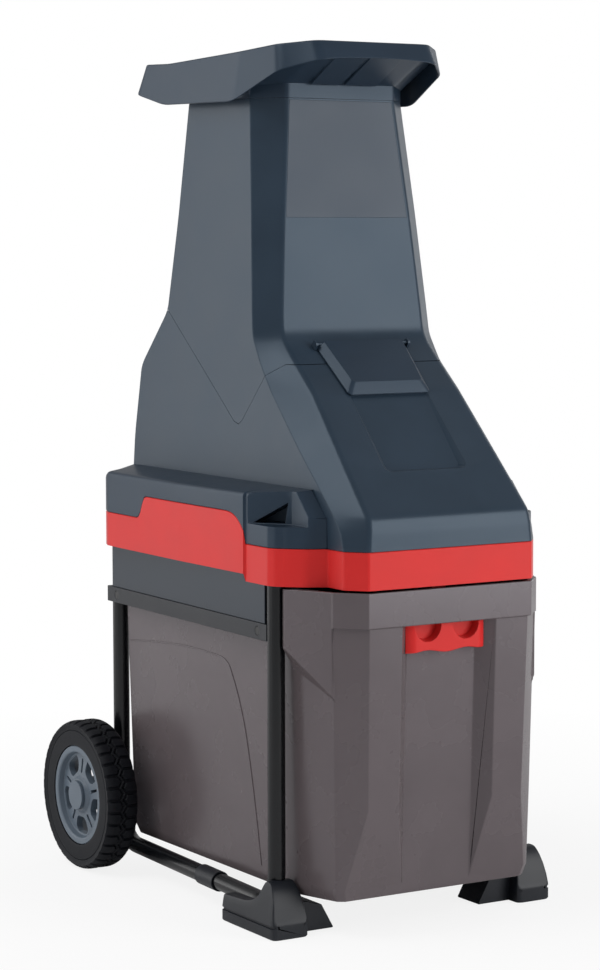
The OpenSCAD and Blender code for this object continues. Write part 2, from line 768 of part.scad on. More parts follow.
module rail(flip) {
    color("#262b32") from_nose() mirrored(flip) difference() {
        up_z(rail_z, rail_top_z) polygon([[-rail_front_x, rail_front_y], [-rail_inner_x, rail_front_y],
            [-rail_inner_x, rail_rear_y], [-rail_rear_x, rail_rear_y]]);
        translate([-front_post_x, front_post_y, 300]) cylinder(h = 100, r = tube_r + fit_gap);
        translate([-rear_post_x, rear_post_y, 300]) cylinder(h = 100, r = tube_r + fit_gap);
        for (y = [rear_post_y - 18, front_post_y + 26]) {
            rod_x(y, rail_z + rail_h / 2, -200, -100, 5.1);
            rod_x(y, rail_z + rail_h / 2, -200, -rail_face_x(y) + 3.4, 10.4);
        }
    }
}

module rail_left() {
    rail(false);
}

module rail_right() {
    rail(true);
}

module axle() {
    color("#9aa0a6") from_nose() rod_x(rear_post_y, axle_z, -wheel_face_x + 6, wheel_face_x - 6, axle_d);
}

module at_wheel(flip) {
    from_nose() mirrored(flip) translate([-wheel_face_x, rear_post_y, axle_z]) rotate([0, 90, 0]) children();
}

module tyre(flip) {
    color("#33353b") at_wheel(flip) rotate_extrude($fn = 96) polygon([[rim_d / 2 + 2, 2], [tyre_r - 8, 1.5],
        [tyre_r - 4.6, 0], [tyre_r - 2, 3], [tyre_r, 9], [tyre_r, tyre_w - 9], [tyre_r - 2, tyre_w - 3],
        [tyre_r - 5, tyre_w], [rim_d / 2 + 2, tyre_w - 3]]);
}

module tyre_left() {
    tyre(false);
}

module tyre_right() {
    tyre(true);
}

module wheel_rim(flip) {
    r = rim_d / 2;
    hub_r = 21;
    color("#56616b") at_wheel(flip) difference() {
        rotate_extrude($fn = 96) polygon([[axle_d / 2 + run_gap, 4], [hub_r, 4], [hub_r + 2, 8], [r - 8, 11],
            [r - 5, 3], [r + 1.9, 3], [r + 1.9, tyre_w - 4], [r - 6, tyre_w - 4], [r - 8, 19], [hub_r, 17],
            [hub_r, tyre_w - 2], [axle_d / 2 + run_gap, tyre_w - 2]]);
        for (i = [0:4]) rotate([0, 0, i * 72]) linear_extrude(60) polygon([[28, -11], [r - 10, -19],
            [r - 10, 19],
            [28, 11]]);
    }
}

module wheel_rim_left() {
    wheel_rim(false);
}

module wheel_rim_right() {
    wheel_rim(true);
}

module hub_cap(flip) {
    color("#2b2f36") at_wheel(flip) difference() {
        cylinder(h = 3.95, d = 36);
        translate([0, 0, 2]) cylinder(h = 40, d = axle_d + 16);
    }
}

module hub_cap_left() {
    hub_cap(false);
}

module hub_cap_right() {
    hub_cap(true);
}

// Plan of the box at one height: front corner, side corner, then the rear set in by the taper and the wall.
function box_plan(front, corner, taper, d) = both([[front[0] - 0.4 * d, front[1] + d],
    [corner[0] - 0.8 * d, corner[1] + 0.4 * d], [box_hw - d - taper, corner[1] + 51],
    [box_hw - d - taper, box_rear_y - 8 - 1.6 * taper], [box_hw - 2.4 - 0.7 * d - taper,
        box_rear_y - 2.4 - 0.7 * d - 1.6 * taper],
    [box_hw - 8 - taper, box_rear_y - d - 1.6 * taper]]);

box_run_y = box_front_y + box_lean + box_run_back;

// The box set in by its wall, with its floor raised by the same and its top by the given amount.
module box_form(d, rise) {
    bottom = box_z + d;
    loft([at_height(box_plan([box_hw - 34, box_run_y + 0.5], [box_hw - 25.5, box_run_y + 6], 9, d), bottom),
        at_height(box_plan([box_hw - 30.5, box_run_y - 3.5], [box_hw - 22, box_run_y + 2.2], 5, d),
            bottom + 14),
        at_height(box_plan([nose_hw - 6, box_front_y + box_lean], [box_hw - 20, 33.5], 3.5, d), box_knee_z),
        at_height(box_plan([nose_hw - 3, box_front_y], [box_hw - 16, 31], 0, d), box_band_z),
        at_height(box_plan([nose_hw - 3, box_front_y], [box_hw - 16, 31], 0, d), box_top_z + rise)]);
}

module collecting_box() {
    band_end_x = box_hw - 14.5;
    ear_x = box_hw + 14;
    color("#6b6466", 0.6) from_nose() difference() {
        union() {
            box_form(0, 0);
            up_z(rail_top_z + 0.3, rail_top_z + 4) polygon([[-box_hw + 2, 113], [box_hw - 2, 113],
                [flange_hw, 117],
                [flange_hw, 474], [box_hw - 2, 478], [-box_hw + 2, 478], [-flange_hw, 474], [-flange_hw,
                    117]]);
            up_z(box_band_z, box_top_z) polygon([[-nose_hw, 0], [nose_hw, 0], [band_end_x, 29],
                [band_end_x, 34],
                [-band_end_x, 34], [-band_end_x, 29]]);
            for (s = [-1, 1]) scale([s, 1, 1]) intersection() {
                up_z(box_z, box_top_z) polygon([[ear_x - 36, 32], [ear_x - 29, 31], [ear_x, 84], [ear_x,
                    89], [ear_x - 21, 89],
                    [ear_x - 36, 60]]);
                along_y(0, 120) polygon([[ear_x - 46, box_top_z], [ear_x + 4, box_top_z], [ear_x + 1,
                    box_band_z - 25],
                    [ear_x - 37, box_band_z - 89], [ear_x - 46, box_band_z - 89]]);
            }
        }
        difference() {
            box_form(box_wall, 10);
            front_recess(box_wall);
        }
        front_recess(0);
        translate([-latch_stem_hw - 0.5, recess_y - 1, latch_z + 10 - latch_travel - 1])
            cube([2 * latch_stem_hw + 1, box_wall + 8, latch_h]);
    }
}

// Recess with slanted side walls down the middle of the box front, grown for the wall behind it.
module front_recess(grow) {
    lean = atan2(box_lean, box_band_z - box_knee_z);
    deep = recess_d + grow;
    side = recess_hw + 1.4 * grow;
    intersection() {
        up_z(box_z + 8 - grow, box_band_z + grow) square([400, 400], center = true);
        translate([0, box_front_y, box_band_z]) rotate([lean, 0, 0]) translate([0, 0,
            -400]) linear_extrude(500)
            polygon([[-side - 20, -20], [side + 20, -20], [recess_hw - recess_d + 0.4 * grow, deep],
                [-recess_hw + recess_d - 0.4 * grow, deep]]);
    }
}

module box_latch() {
    back = recess_y - 0.6;
    wide = recess_hw - recess_d + 0.2;
    color("#d04440") from_nose() difference() {
        union() {
            up_z(latch_z, latch_z + latch_h) polygon([[-wide - latch_t, back - latch_t], [wide + latch_t,
                back - latch_t],
                [wide, back], [-wide, back]]);
            translate([-latch_stem_hw, back - 0.1, latch_z + 10]) cube([2 * latch_stem_hw, box_wall + 8,
                latch_h - 14]);
            translate([-latch_stem_hw, switch_y - 2, latch_z + 10])
                cube([2 * latch_stem_hw, 5, plunger_tip_z - 0.2 - latch_z - 10]);
        }
        for (s = [-1, 1]) translate([s * 24 - 17, back - latch_t - 5, latch_z + 5]) cube([34, 9.8,
            latch_h - 12]);
    }
}

module chamber_plate(y, top) {
    from_nose() difference() {
        translate([-chamber_hw, y, deck_z + 0.05]) cube([2 * chamber_hw, plate_t, top - deck_z]);
        rod_y(roller_x, roller_z, y - 1, y + plate_t + 1, bearing_d + 2 * fit_gap);
        children();
    }
}

module chamber_front_plate() {
    color("#7d848b") chamber_plate(chamber_y, chamber_top_z);
}

module chamber_rear_plate() {
    color("#7d848b") chamber_plate(rear_plate_y, chamber_top_z + 42) union() {
        rod_y(idler_x, idler_z, rear_plate_y - 1, rear_plate_y + plate_t + 1, idler_d + 2 * run_gap);
    }
}

module feed_chute() {
    y0 = chamber_y + plate_t - 4;
    y1 = rear_plate_y - 0.2;
    hw = chamber_hw - 24;
    bend_z = chamber_top_z + 50;
    mouth_z = waist_z + 10;
    low = both([[hw - 16, y0], [hw, y0 + 8], [hw, y1 - 6], [hw - 2, y1 - 2], [hw - 6, y1]]);
    bore = [for (p = low) [p[0] * 0.95, p[1] < screw_y ? p[1] + 7 : p[1] - 3]];
    color("#4a5058") from_nose() difference() {
        loft([at_height(low, chamber_top_z + 0.2), at_height(low, bend_z),
            at_height(body_outline(mouth_z, wall + 0.3), mouth_z)]);
        loft([at_height(bore, chamber_top_z - 12), at_height(bore, bend_z),
            at_height(body_outline(mouth_z, wall + 3.3), mouth_z + 0.1)]);
    }
}

module cutting_roller() {
    r = roller_d / 2;
    color("#8a9096") from_nose() translate([roller_x, roller_y1, roller_z]) rotate([90, 0, 0])
        linear_extrude(roller_y1 - roller_y0) difference() {
            polygon([for (i = [0:7], p = [[r - 15, 0], [r - 13, 24], [r, 30], [r, 36]])
                [p[0] * cos(i * 45 + p[1]), p[0] * sin(i * 45 + p[1])]]);
            circle(r = roller_shaft_d / 2 + fit_gap);
        }
}

module roller_shaft() {
    color("#9aa0a6") from_nose() rod_y(roller_x, roller_z, chamber_y - 4, gear_y + gear_w + 1,
        roller_shaft_d);
}

module bearing(y) {
    from_nose() difference() {
        rod_y(roller_x, roller_z, y, y + plate_t, bearing_d);
        rod_y(roller_x, roller_z, y - 1, y + plate_t + 1, roller_shaft_d + 2 * run_gap);
    }
}

module bearing_front() {
    color("#b0a070") bearing(chamber_y);
}

module bearing_rear() {
    color("#b0a070") bearing(rear_plate_y);
}

// Spur gear in the XZ plane with straight flanks and plenty of backlash, one tooth towards the given angle.
module spur(n, angle, bore) {
    r = n * gear_m / 2;
    half = 0.2 * 180 * gear_m;
    difference() {
        polygon([for (i = [0:n - 1], p = [[r - 1.15 * gear_m, -1.5], [r + 0.7 * gear_m, -0.62],
            [r + 0.7 * gear_m, 0.62], [r - 1.15 * gear_m, 1.5]])
            let (a = angle + i * 360 / n + p[1] * half / r) [p[0] * cos(a), p[0] * sin(a)]]);
        circle(r = bore);
    }
}

mesh_low = atan2(idler_z - roller_z, idler_x - roller_x);
mesh_high = atan2(motor_z - idler_z, -idler_x);

module roller_gear() {
    color("#8f8f86") from_nose() translate([roller_x, 0, roller_z]) along_y(gear_y, gear_y + gear_w)
        spur(n_roller, mesh_low, roller_shaft_d / 2 + fit_gap);
}

module second_pinion() {
    color("#9a9a90") from_nose() union() {
        translate([idler_x, 0, idler_z]) along_y(gear_y - 1, gear2_y)
            spur(n_second, mesh_low + 180 + 180 / n_second, 1);
        rod_y(idler_x, idler_z, rear_plate_y + 1, gearbox_y + gearbox_t - 0.5, idler_d);
    }
}

module first_gear() {
    color("#8f8f86") from_nose() translate([idler_x, 0, idler_z]) along_y(gear2_y, gear2_y + gear_w)
        spur(n_first, mesh_high, idler_d / 2 + fit_gap);
}

module motor_pinion() {
    color("#9a9a90") from_nose() translate([0, 0, motor_z]) along_y(gear2_y - 0.5, gear2_y + gear_w + 0.5)
        spur(n_motor, mesh_high + 180 + 180 / n_motor, motor_shaft_d / 2 + fit_gap);
}

module gearbox_shell() {
    y0 = rear_plate_y + plate_t + 0.1;
    color("#6f757c") from_nose() difference() {
        translate([-86, y0, deck_z + 0.1]) cube([184, gearbox_y + gearbox_t - y0, 165]);
        translate([-82, y0 - 1, deck_z + 2.1]) cube([176, gearbox_y - y0 + 1, 159]);
        rod_y(idler_x, idler_z, gearbox_y - 1, gearbox_y + gearbox_t + 1, idler_d + 2 * run_gap);
        rod_y(0, motor_z, gearbox_y - 1, gearbox_y + gearbox_t + 1, 26);
    }
}

module motor_case() {
    color("#5a6068") from_nose() difference() {
        rod_y(0, motor_z, motor_y, motor_y + motor_len, motor_d);
        rod_y(0, motor_z, motor_y + 4, motor_y + motor_len - 4, motor_d - 8);
        rod_y(0, motor_z, motor_y - 1, motor_y + motor_len + 1, motor_shaft_d + 2 * run_gap);
    }
}

module motor_stator() {
    color("#8a5a30") from_nose() difference() {
        rod_y(0, motor_z, motor_y + 8, motor_y + 42, motor_d - 8 - 2 * fit_gap);
        rod_y(0, motor_z, motor_y, motor_y + 60, 60);
    }
}

module motor_rotor() {
    color("#7d848b") from_nose() union() {
        rod_y(0, motor_z, motor_y + 9, motor_y + 41, 59);
        rod_y(0, motor_z, gear2_y - 1, motor_y + motor_len - 1, motor_shaft_d);
    }
}

module cooling_fan() {
    color("#23272e") from_nose() difference() {
        union() {
            rod_y(0, motor_z, motor_y + 43.5, motor_y + 46, motor_d - 20);
            for (a = [0:45:315]) translate([0, 0, motor_z]) rotate([0, a, 0])
                translate([14, motor_y + 45.9, -1]) cube([motor_d / 2 - 24, 7, 2]);
            rod_y(0, motor_z, motor_y + 42.5, motor_y + 53, 22);
        }
        rod_y(0, motor_z, motor_y, motor_y + 80, motor_shaft_d + 2 * fit_gap);
    }
}

module capacitor() {
    color("#b9bdc2") from_nose() translate([-body_hw + 27, rear_plate_y + 62, deck_z + 0.05]) union() {
        cylinder(h = 78, d = 36);
        translate([0, 0, 77]) cylinder(h = 4, d = 30);
        translate([-5, -1, 80]) cube([3, 2, 8]);
        translate([3, -1, 80]) cube([3, 2, 8]);
    }
}

module pressure_plate() {
    y0 = chamber_y + plate_t + 0.4;
    color("#8a9096") from_nose() difference() {
        union() {
            translate([press_x, y0, deck_z + 0.4]) cube([press_t, chamber_len - 0.8, 112]);
            rod_x(screw_y, screw_z, press_x + press_t - 0.1, press_x + press_t + 20, screw_d + 12);
        }
        rod_x(screw_y, screw_z, press_x + 4, press_x + 80, screw_d + 2 * run_gap);
        translate([press_x - 1, y0 - 1, deck_z + 100]) rotate([0, -35, 0])
            translate([-20, 0, 0]) cube([20, chamber_len + 2, 40]);
    }
}

module screw_bracket() {
    color("#7d848b") from_nose() difference() {
        union() {
            translate([bracket_x, screw_y - 24, deck_z + 0.05]) cube([bracket_t, 48, screw_z - deck_z + 20]);
            translate([bracket_x - 14, screw_y - 24, deck_z + 0.05]) cube([20, 48, 8]);
        }
        rod_x(screw_y, screw_z, bracket_x - 40, bracket_x + 40, screw_d + 2 * run_gap);
    }
}

module adjusting_screw() {
    color("#9aa0a6") from_nose() union() {
        rod_x(screw_y, screw_z, press_x + press_t - 2, base_side_hw + 12, screw_d);
        rod_x(screw_y, screw_z, bracket_x + bracket_t + 0.3, bracket_x + bracket_t + 5, screw_d + 10);
        rod_x(screw_y, screw_z, bracket_x - 5.3, bracket_x - 0.3, screw_d + 8);
    }
}

module adjusting_knob() {
    x0 = base_side_hw + 1.5;
    color("#2b2f36") from_nose() difference() {
        union() {
            rod_x(screw_y, screw_z, x0, x0 + 18, knob_d - 6);
            for (a = [0:45:315]) translate([0, screw_y, screw_z]) rotate([a, 0, 0])
                translate([x0, 0, knob_d / 2 - 4]) rotate([0, 90, 0]) cylinder(h = 18, d = 8);
        }
        rod_x(screw_y, screw_z, x0 - 1, base_side_hw + 12.1, screw_d + 2 * fit_gap);
    }
}

// The control panel hangs under the shelf opening and carries the buttons.
panel_floor = -13;

module control_panel() {
    color("#2a2f36") from_nose() on_shelf() difference() {
        translate([-panel_hw - 4, -23, panel_floor - 22]) cube([2 * panel_hw + 8, 46, 17.5 - panel_floor]);
        translate([-panel_hw + 2, -17, panel_floor]) cube([2 * panel_hw - 4, 34, 40]);
        for (x = [-25, 25]) translate([x, 0, panel_floor - 14]) cylinder(h = 40,
            d = button_d + 2 * run_gap + 0.6);
        translate([0, 0, panel_floor - 10]) cylinder(h = 40, d = 10 + 2 * run_gap);
    }
}

module button(x) {
    from_nose() on_shelf() translate([x, 0, panel_floor - 7.5]) union() {
        cylinder(h = 13.5, d = button_d);
        translate([0, 0, 13.4]) cylinder(h = 1, d = button_d - 3);
    }
}

module start_button() {
    color("#3d9a4b") button(-25);
}

module stop_button() {
    color("#c93a37") button(25);
}

module direction_selector() {
    color("#1d2126") from_nose() on_shelf() union() {
        translate([0, 0, panel_floor - 9.7]) cylinder(h = 10.5, d = 10);
        translate([0, 0, panel_floor + 0.4]) cylinder(h = 4, d = 16);
        translate([-2, -8, panel_floor + 4.3]) cube([4, 16, 4]);
    }
}

module safety_switch() {
    color("#3a3f46") from_nose() difference() {
        translate([-14, switch_y - 10, deck_z + 0.05]) cube([28, 22, 20]);
        translate([0, switch_y, deck_z - 5]) cylinder(h = 18, d = plunger_d + 2 * run_gap);
    }
}

module switch_plunger() {
    color("#c93a37") from_nose() translate([0, switch_y,
        plunger_tip_z]) cylinder(h = deck_z + 10 - plunger_tip_z, d = plunger_d);
}

module power_inlet() {
    color("#23272e") from_nose() on_rear_wall(60, 545) difference() {
        union() {
            translate([-19.9, -16, -19.9]) cube([39.8, 12, 39.8]);
            translate([-19.9, -4.1, -14.9]) cube([39.8, 5, 29.8]);
            translate([-25, 0.1, -24]) cube([50, 3, 48]);
        }
        translate([-15, -12, -11]) cube([30, 20, 22]);
    }
}

module reset_button() {
    color("#c93a37") from_nose() on_rear_wall(-60, 545) union() {
        translate([0, -12, 0]) rotate([-90, 0, 0]) cylinder(h = 15.6, d = 18);
        translate([0, 3.5, 0]) rotate([-90, 0, 0]) cylinder(h = 1.5, d = 15);
    }
}

module frame_screws() {
    color("#9aa0a6") from_nose() for (s = [-1, 1]) for (y = [rear_post_y - 18, front_post_y + 26]) {
        x = rail_face_x(y);
        rod_x(y, rail_z + rail_h / 2, s > 0 ? box_hw + 2 : -x + 2, s > 0 ? x - 2 : -box_hw - 2, 5);
        rod_x(y, rail_z + rail_h / 2, s > 0 ? x - 3.3 : -x + 0.5, s > 0 ? x - 0.5 : -x + 3.3, 10);
    }
}

hopper();
front_apron();
feed_lip();
lower_housing();
hatch();
hatch_pin();
base_skirt();
red_band();
base_plate();
box_guide_left();
box_guide_right();
front_tube_left();
front_tube_right();
rear_tube_left();
rear_tube_right();
sleeve_left();
sleeve_right();
foot_left();
foot_right();
rail_left();
rail_right();
axle();
tyre_left();
tyre_right();
wheel_rim_left();
wheel_rim_right();
hub_cap_left();
hub_cap_right();
collecting_box();
box_latch();
chamber_front_plate();
chamber_rear_plate();
feed_chute();
cutting_roller();
roller_shaft();
bearing_front();
bearing_rear();
roller_gear();
first_gear();
second_pinion();
gearbox_shell();
motor_case();
motor_stator();
motor_rotor();
cooling_fan();
motor_pinion();
capacitor();
pressure_plate();
screw_bracket();
adjusting_screw();
adjusting_knob();
control_panel();
start_button();
stop_button();
direction_selector();
safety_switch();
switch_plunger();
power_inlet();
reset_button();
frame_screws();
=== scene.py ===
"""Garden shredder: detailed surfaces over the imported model, in a soft studio, from the photo's camera."""
import json
import math

import bmesh
import bpy
import numpy as np
from mathutils import Matrix, Vector

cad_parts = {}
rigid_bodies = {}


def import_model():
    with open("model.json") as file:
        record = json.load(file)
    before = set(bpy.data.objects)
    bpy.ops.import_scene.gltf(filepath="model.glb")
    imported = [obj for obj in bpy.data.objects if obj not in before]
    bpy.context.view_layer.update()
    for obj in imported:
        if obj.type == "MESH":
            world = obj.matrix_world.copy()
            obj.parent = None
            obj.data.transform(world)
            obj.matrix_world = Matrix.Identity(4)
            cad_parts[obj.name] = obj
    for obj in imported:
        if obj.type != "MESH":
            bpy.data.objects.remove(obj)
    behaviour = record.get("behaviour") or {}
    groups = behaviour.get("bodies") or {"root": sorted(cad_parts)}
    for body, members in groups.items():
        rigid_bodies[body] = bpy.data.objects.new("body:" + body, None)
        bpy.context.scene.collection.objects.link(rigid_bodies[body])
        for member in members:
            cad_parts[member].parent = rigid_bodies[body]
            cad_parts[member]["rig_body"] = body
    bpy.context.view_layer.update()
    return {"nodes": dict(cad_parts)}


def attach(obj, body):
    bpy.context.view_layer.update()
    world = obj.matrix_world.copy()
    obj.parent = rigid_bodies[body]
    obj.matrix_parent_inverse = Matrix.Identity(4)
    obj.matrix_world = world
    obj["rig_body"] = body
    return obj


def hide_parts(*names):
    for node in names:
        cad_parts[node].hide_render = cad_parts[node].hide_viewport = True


for spare in list(bpy.data.objects):
    bpy.data.objects.remove(spare)
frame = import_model()

# Lengths below are in millimetres, with depths from the front of the nose, as in the part's source.
MM = 0.001
NOSE = -298.5
SIDES = (("left", -1), ("right", 1))


def at(x, y, z):
    """Point of the scene, in metres."""
    return Vector((x * MM, (y + NOSE) * MM, z * MM))


def put(name, data):
    """New object in the scene."""
    ob = bpy.data.objects.new(name, data)
    bpy.context.scene.collection.objects.link(ob)
    return ob


# Materials

DRIFT_SCALE = 16
GLOSS_SWING = 0.06
GRAIN_HEIGHT = 0.4 * MM
EDGE_START, EDGE_FULL = 0.52, 0.60
MIX_SHARE, MIX_FIRST, MIX_SECOND, MIX_RESULT = 0, 6, 7, 2
DEFAULT_SLOT = "black_plastic"
COOL = (0.70, 0.85, 1.0)
# Each look paints its edges lighter by a share: partly edge wear, partly a painted highlight.
LOOKS = {
    "slate": dict(code="#283542", rough=0.33, specular=0.38, sheen=COOL),
    "slate_panel": dict(code="#2e3742", rough=0.38, specular=0.40, sheen=(0.82, 0.90, 1.0)),
    "slate_dark": dict(code="#222f3d", rough=0.35, specular=0.38, sheen=COOL),
    "red": dict(code="#d42c2b", rough=0.34, grain=0.06, drift=0.04, wear_and_highlight=0.06, specular=0.22,
                sheen=(1.0, 0.7, 0.66)),
    "green": dict(code="#2a8a3e", rough=0.36, grain=0.06),
    "smoke": dict(code="#5d5557", rough=0.27, grain=0.02, drift=0.05, wear_and_highlight=0.05, specular=0.45,
                  sheen=(0.95, 0.93, 1.0)),
    "guide": dict(code="#1f232b", rough=0.30, grain=0.05, specular=0.4, sheen=COOL),
    "black_plastic": dict(code="#14181f", rough=0.40, wear_and_highlight=0.12, specular=0.35),
    "painted_tube": dict(code="#05070b", rough=0.24, grain=0.03, scale=700, wear_and_highlight=0.05, specular=0.4),
    "tyre": dict(code="#0b0e15", rough=0.60, grain=0.30, scale=900, specular=0.25),
    "wheel_grey": dict(code="#5b6773", rough=0.40, grain=0.10, wear_and_highlight=0.15),
    "steel": dict(code="#9ba1a8", rough=0.32, grain=0.10, metal=1.0, streak=(40, 1200, 40)),
    "aluminium": dict(code="#b4b8bd", rough=0.40, grain=0.15, metal=1.0),
    "copper_pack": dict(code="#9a5f35", rough=0.38, grain=0.35, scale=500, metal=0.8),
}


def linear(code):
    """Linear colour of a hex code."""
    parts = [int(code[i:i + 2], 16) / 255 for i in (1, 3, 5)]
    return [c / 12.92 if c <= 0.04045 else ((c + 0.055) / 1.055) ** 2.4 for c in parts]


def add(tree, kind, **sockets):
    """New shader node with some sockets set. An underscore in a socket's name stands for a space."""
    node = tree.nodes.new("ShaderNode" + kind)
    for name, value in sockets.items():
        node.inputs[name.replace("_", " ")].default_value = value
    return node


def finish(name, code, rough, grain=0.12, scale=1400, drift=0.08, wear_and_highlight=0.10, metal=0.0, specular=0.5,
           streak=None, sheen=(1, 1, 1)):
    """Moulded or painted surface: fine grain, uneven gloss, slow colour drift, edges lighter as wear and
    painted highlight.
    """
    mat = bpy.data.materials.new(name)
    mat.use_nodes = True
    tree = mat.node_tree
    link = tree.links.new
    bsdf = tree.nodes["Principled BSDF"]
    bsdf.inputs["Metallic"].default_value = metal
    bsdf.inputs["Specular IOR Level"].default_value = specular
    bsdf.inputs["Specular Tint"].default_value = (*sheen, 1)
    base = linear(code)
    place = add(tree, "TexCoord").outputs["Object"]

    slow = add(tree, "TexNoise", Scale=DRIFT_SCALE, Detail=4)
    link(place, slow.inputs["Vector"])
    ramp = add(tree, "ValToRGB")
    for k, (where, share) in enumerate(((0.3, 1 - drift), (0.7, 1 + drift))):
        ramp.color_ramp.elements[k].position = where
        ramp.color_ramp.elements[k].color = [min(1, c * share) for c in base] + [1]
    link(slow.outputs["Fac"], ramp.inputs["Fac"])
    gloss = add(tree, "MapRange", To_Min=rough - GLOSS_SWING, To_Max=rough + GLOSS_SWING)
    link(slow.outputs["Fac"], gloss.inputs["Value"])
    link(gloss.outputs["Result"], bsdf.inputs["Roughness"])

    # Edges are painted lighter by pointiness: partly edge wear, partly a painted highlight standing in for
    # the light that rounded edges catch.
    shape = add(tree, "NewGeometry")
    edge = add(tree, "MapRange", From_Min=EDGE_START, From_Max=EDGE_FULL, To_Max=wear_and_highlight)
    link(shape.outputs["Pointiness"], edge.inputs["Value"])
    edge_wear_and_highlight = add(tree, "Mix")
    edge_wear_and_highlight.data_type = "RGBA"
    edge_wear_and_highlight.inputs[MIX_SECOND].default_value = [min(1, c * 1.6 + 0.06) for c in base] + [1]
    link(edge.outputs["Result"], edge_wear_and_highlight.inputs[MIX_SHARE])
    link(ramp.outputs["Color"], edge_wear_and_highlight.inputs[MIX_FIRST])
    link(edge_wear_and_highlight.outputs[MIX_RESULT], bsdf.inputs["Base Color"])

    fine = add(tree, "TexNoise", Scale=scale, Detail=3)
    if streak:
        stretch = add(tree, "Mapping", Scale=streak)
        link(place, stretch.inputs["Vector"])
        place = stretch.outputs["Vector"]
    link(place, fine.inputs["Vector"])
    bump = add(tree, "Bump", Strength=grain, Distance=GRAIN_HEIGHT)
    link(fine.outputs["Fac"], bump.inputs["Height"])
    link(bump.outputs["Normal"], bsdf.inputs["Normal"])
    return mat


BY_SLOT = {slot: finish(slot, **look) for slot, look in LOOKS.items()}
for node in frame["nodes"].values():
    slot = node.data.materials[0].name.split(".")[0] if node.data.materials else DEFAULT_SLOT
    node["slot_name"] = slot
    node.data.materials.clear()
    node.data.materials.append(BY_SLOT.get(slot, BY_SLOT[DEFAULT_SLOT]))


# Mesh helpers

MERGE = 2e-6
FLAT_ANGLE = 0.6
CORNER_STEPS = 5
BAR_STEPS = 32
CORNER_SHARE = 0.48
STRAIGHT = 1.5690


def body_of(node):
    """Name of the body that a node of the part belongs to."""
    return frame["nodes"][node]["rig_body"]


def tidy_mesh(bm, soft, segs, angle):
    """Joins doubled points, turns normals outward and rounds edges sharper than angle by soft millimetres."""
    bmesh.ops.remove_doubles(bm, verts=bm.verts, dist=MERGE)
    bmesh.ops.recalc_face_normals(bm, faces=bm.faces)
    if soft:
        limit = math.radians(angle)
        edges = [e for e in bm.edges if len(e.link_faces) == 2 and e.calc_face_angle(0) > limit]
        bmesh.ops.bevel(bm, geom=edges, offset=soft * MM, segments=segs, profile=0.5, affect="EDGES",
                        clamp_overlap=False, offset_type="OFFSET")


def soft_mesh(me, soft=0.0, segs=2, angle=32):
    """The same mesh, tidied and rounded."""
    bm = bmesh.new()
    bm.from_mesh(me)
    tidy_mesh(bm, soft, segs, angle)
    bm.to_mesh(me)
    bm.free()
    return me


def mesh_of(verts, faces):
    """Mesh from points in millimetres."""
    me = bpy.data.meshes.new("piece")
    me.from_pydata([at(*v) for v in verts], [], faces)
    return soft_mesh(me)


def show(name, me, slot, nodes=(), body=None, sharp=38):
    """Puts a finished mesh in the scene in place of the nodes it stands for."""
    me.materials.clear()
    me.materials.append(BY_SLOT[slot])
    me.polygons.foreach_set("use_smooth", [True] * len(me.polygons))
    me.set_sharp_from_angle(angle=math.radians(sharp))
    ob = put(name, me)
    even = ob.modifiers.new("even", "WEIGHTED_NORMAL")
    even.keep_sharp = True
    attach(ob, body or body_of(nodes[0]))
    if nodes:
        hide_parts(*nodes)


def refine(node, soft, segs=2, angle=32, slot=None):
    """A node's own shape again, with its flat faces joined and its edges rounded."""
    source = frame["nodes"][node]
    bm = bmesh.new()
    bm.from_mesh(source.data)
    bmesh.ops.remove_doubles(bm, verts=bm.verts, dist=MERGE)
    bmesh.ops.dissolve_limit(bm, angle_limit=math.radians(FLAT_ANGLE), verts=bm.verts, edges=bm.edges)
    tidy_mesh(bm, soft, segs, angle)
    me = bpy.data.meshes.new(node + "_look")
    bm.to_mesh(me)
    bm.free()
    show(node + "_look", me, slot or source["slot_name"], [node])


def grid(columns, loop=True, ring=False):
    """Quads over columns of points. loop joins the last column to the first, and ring does so for rows."""
    n, m = len(columns), len(columns[0])
    verts = [p for col in columns for p in col]
    faces = []
    for i in range(n if loop else n - 1):
        for j in range(m if ring else m - 1):
            here, beside, up = i * m, (i + 1) % n * m, (j + 1) % m
            faces.append((here + j, beside + j, beside + up, here + up))
    if ring and not loop:
        faces.append(tuple(range(m)))
        faces.append(tuple((n - 1) * m + j for j in range(m)))
    return verts, faces


def tool_of(verts, faces):
    """Object that is only there to be used up by carve() or taken()."""
    return put("tool", mesh_of(verts, faces))


def taken(tool):
    """Mesh of a tool object, which is used up."""
    me = tool.data
    bpy.data.objects.remove(tool)
    return me


def carve(me, tool, how):
    """Boolean of a mesh with a tool object, which is used up."""
    ob = put("work", me)
    step = ob.modifiers.new("carve", "BOOLEAN")
    step.object = tool
    step.operation = how
    step.solver = "EXACT"
    out = bpy.data.meshes.new_from_object(ob.evaluated_get(bpy.context.evaluated_depsgraph_get()))
    bpy.data.objects.remove(ob)
    bpy.data.objects.remove(tool)
    return out


def cut(me, *tools):
    """Mesh with every tool taken away from it."""
    for tool in tools:
        me = carve(me, tool, "DIFFERENCE")
    return me


def prism(points, low, high, place):
    """Straight bar over an outline: place turns (a, b, height) into a point."""
    n = len(points)
    verts = [place(a, b, low) for a, b in points] + [place(a, b, high) for a, b in points]
    faces = [tuple(range(n)), tuple(range(2 * n - 1, n - 1, -1))]
    faces += [(i, (i + 1) % n, n + (i + 1) % n, n + i) for i in range(n)]
    return tool_of(verts, faces)


def slab(x0, x1, y0, y1, z0, z1, place):
    """Bar over a rectangle."""
    return prism([(x0, y0), (x1, y0), (x1, y1), (x0, y1)], z0, z1, place)


def round_bar(r, low, high, place):
    """Bar over a circle."""
    turns = [2 * math.pi * i / BAR_STEPS for i in range(BAR_STEPS)]
    return prism([(r * math.cos(a), r * math.sin(a)) for a in turns], low, high, place)


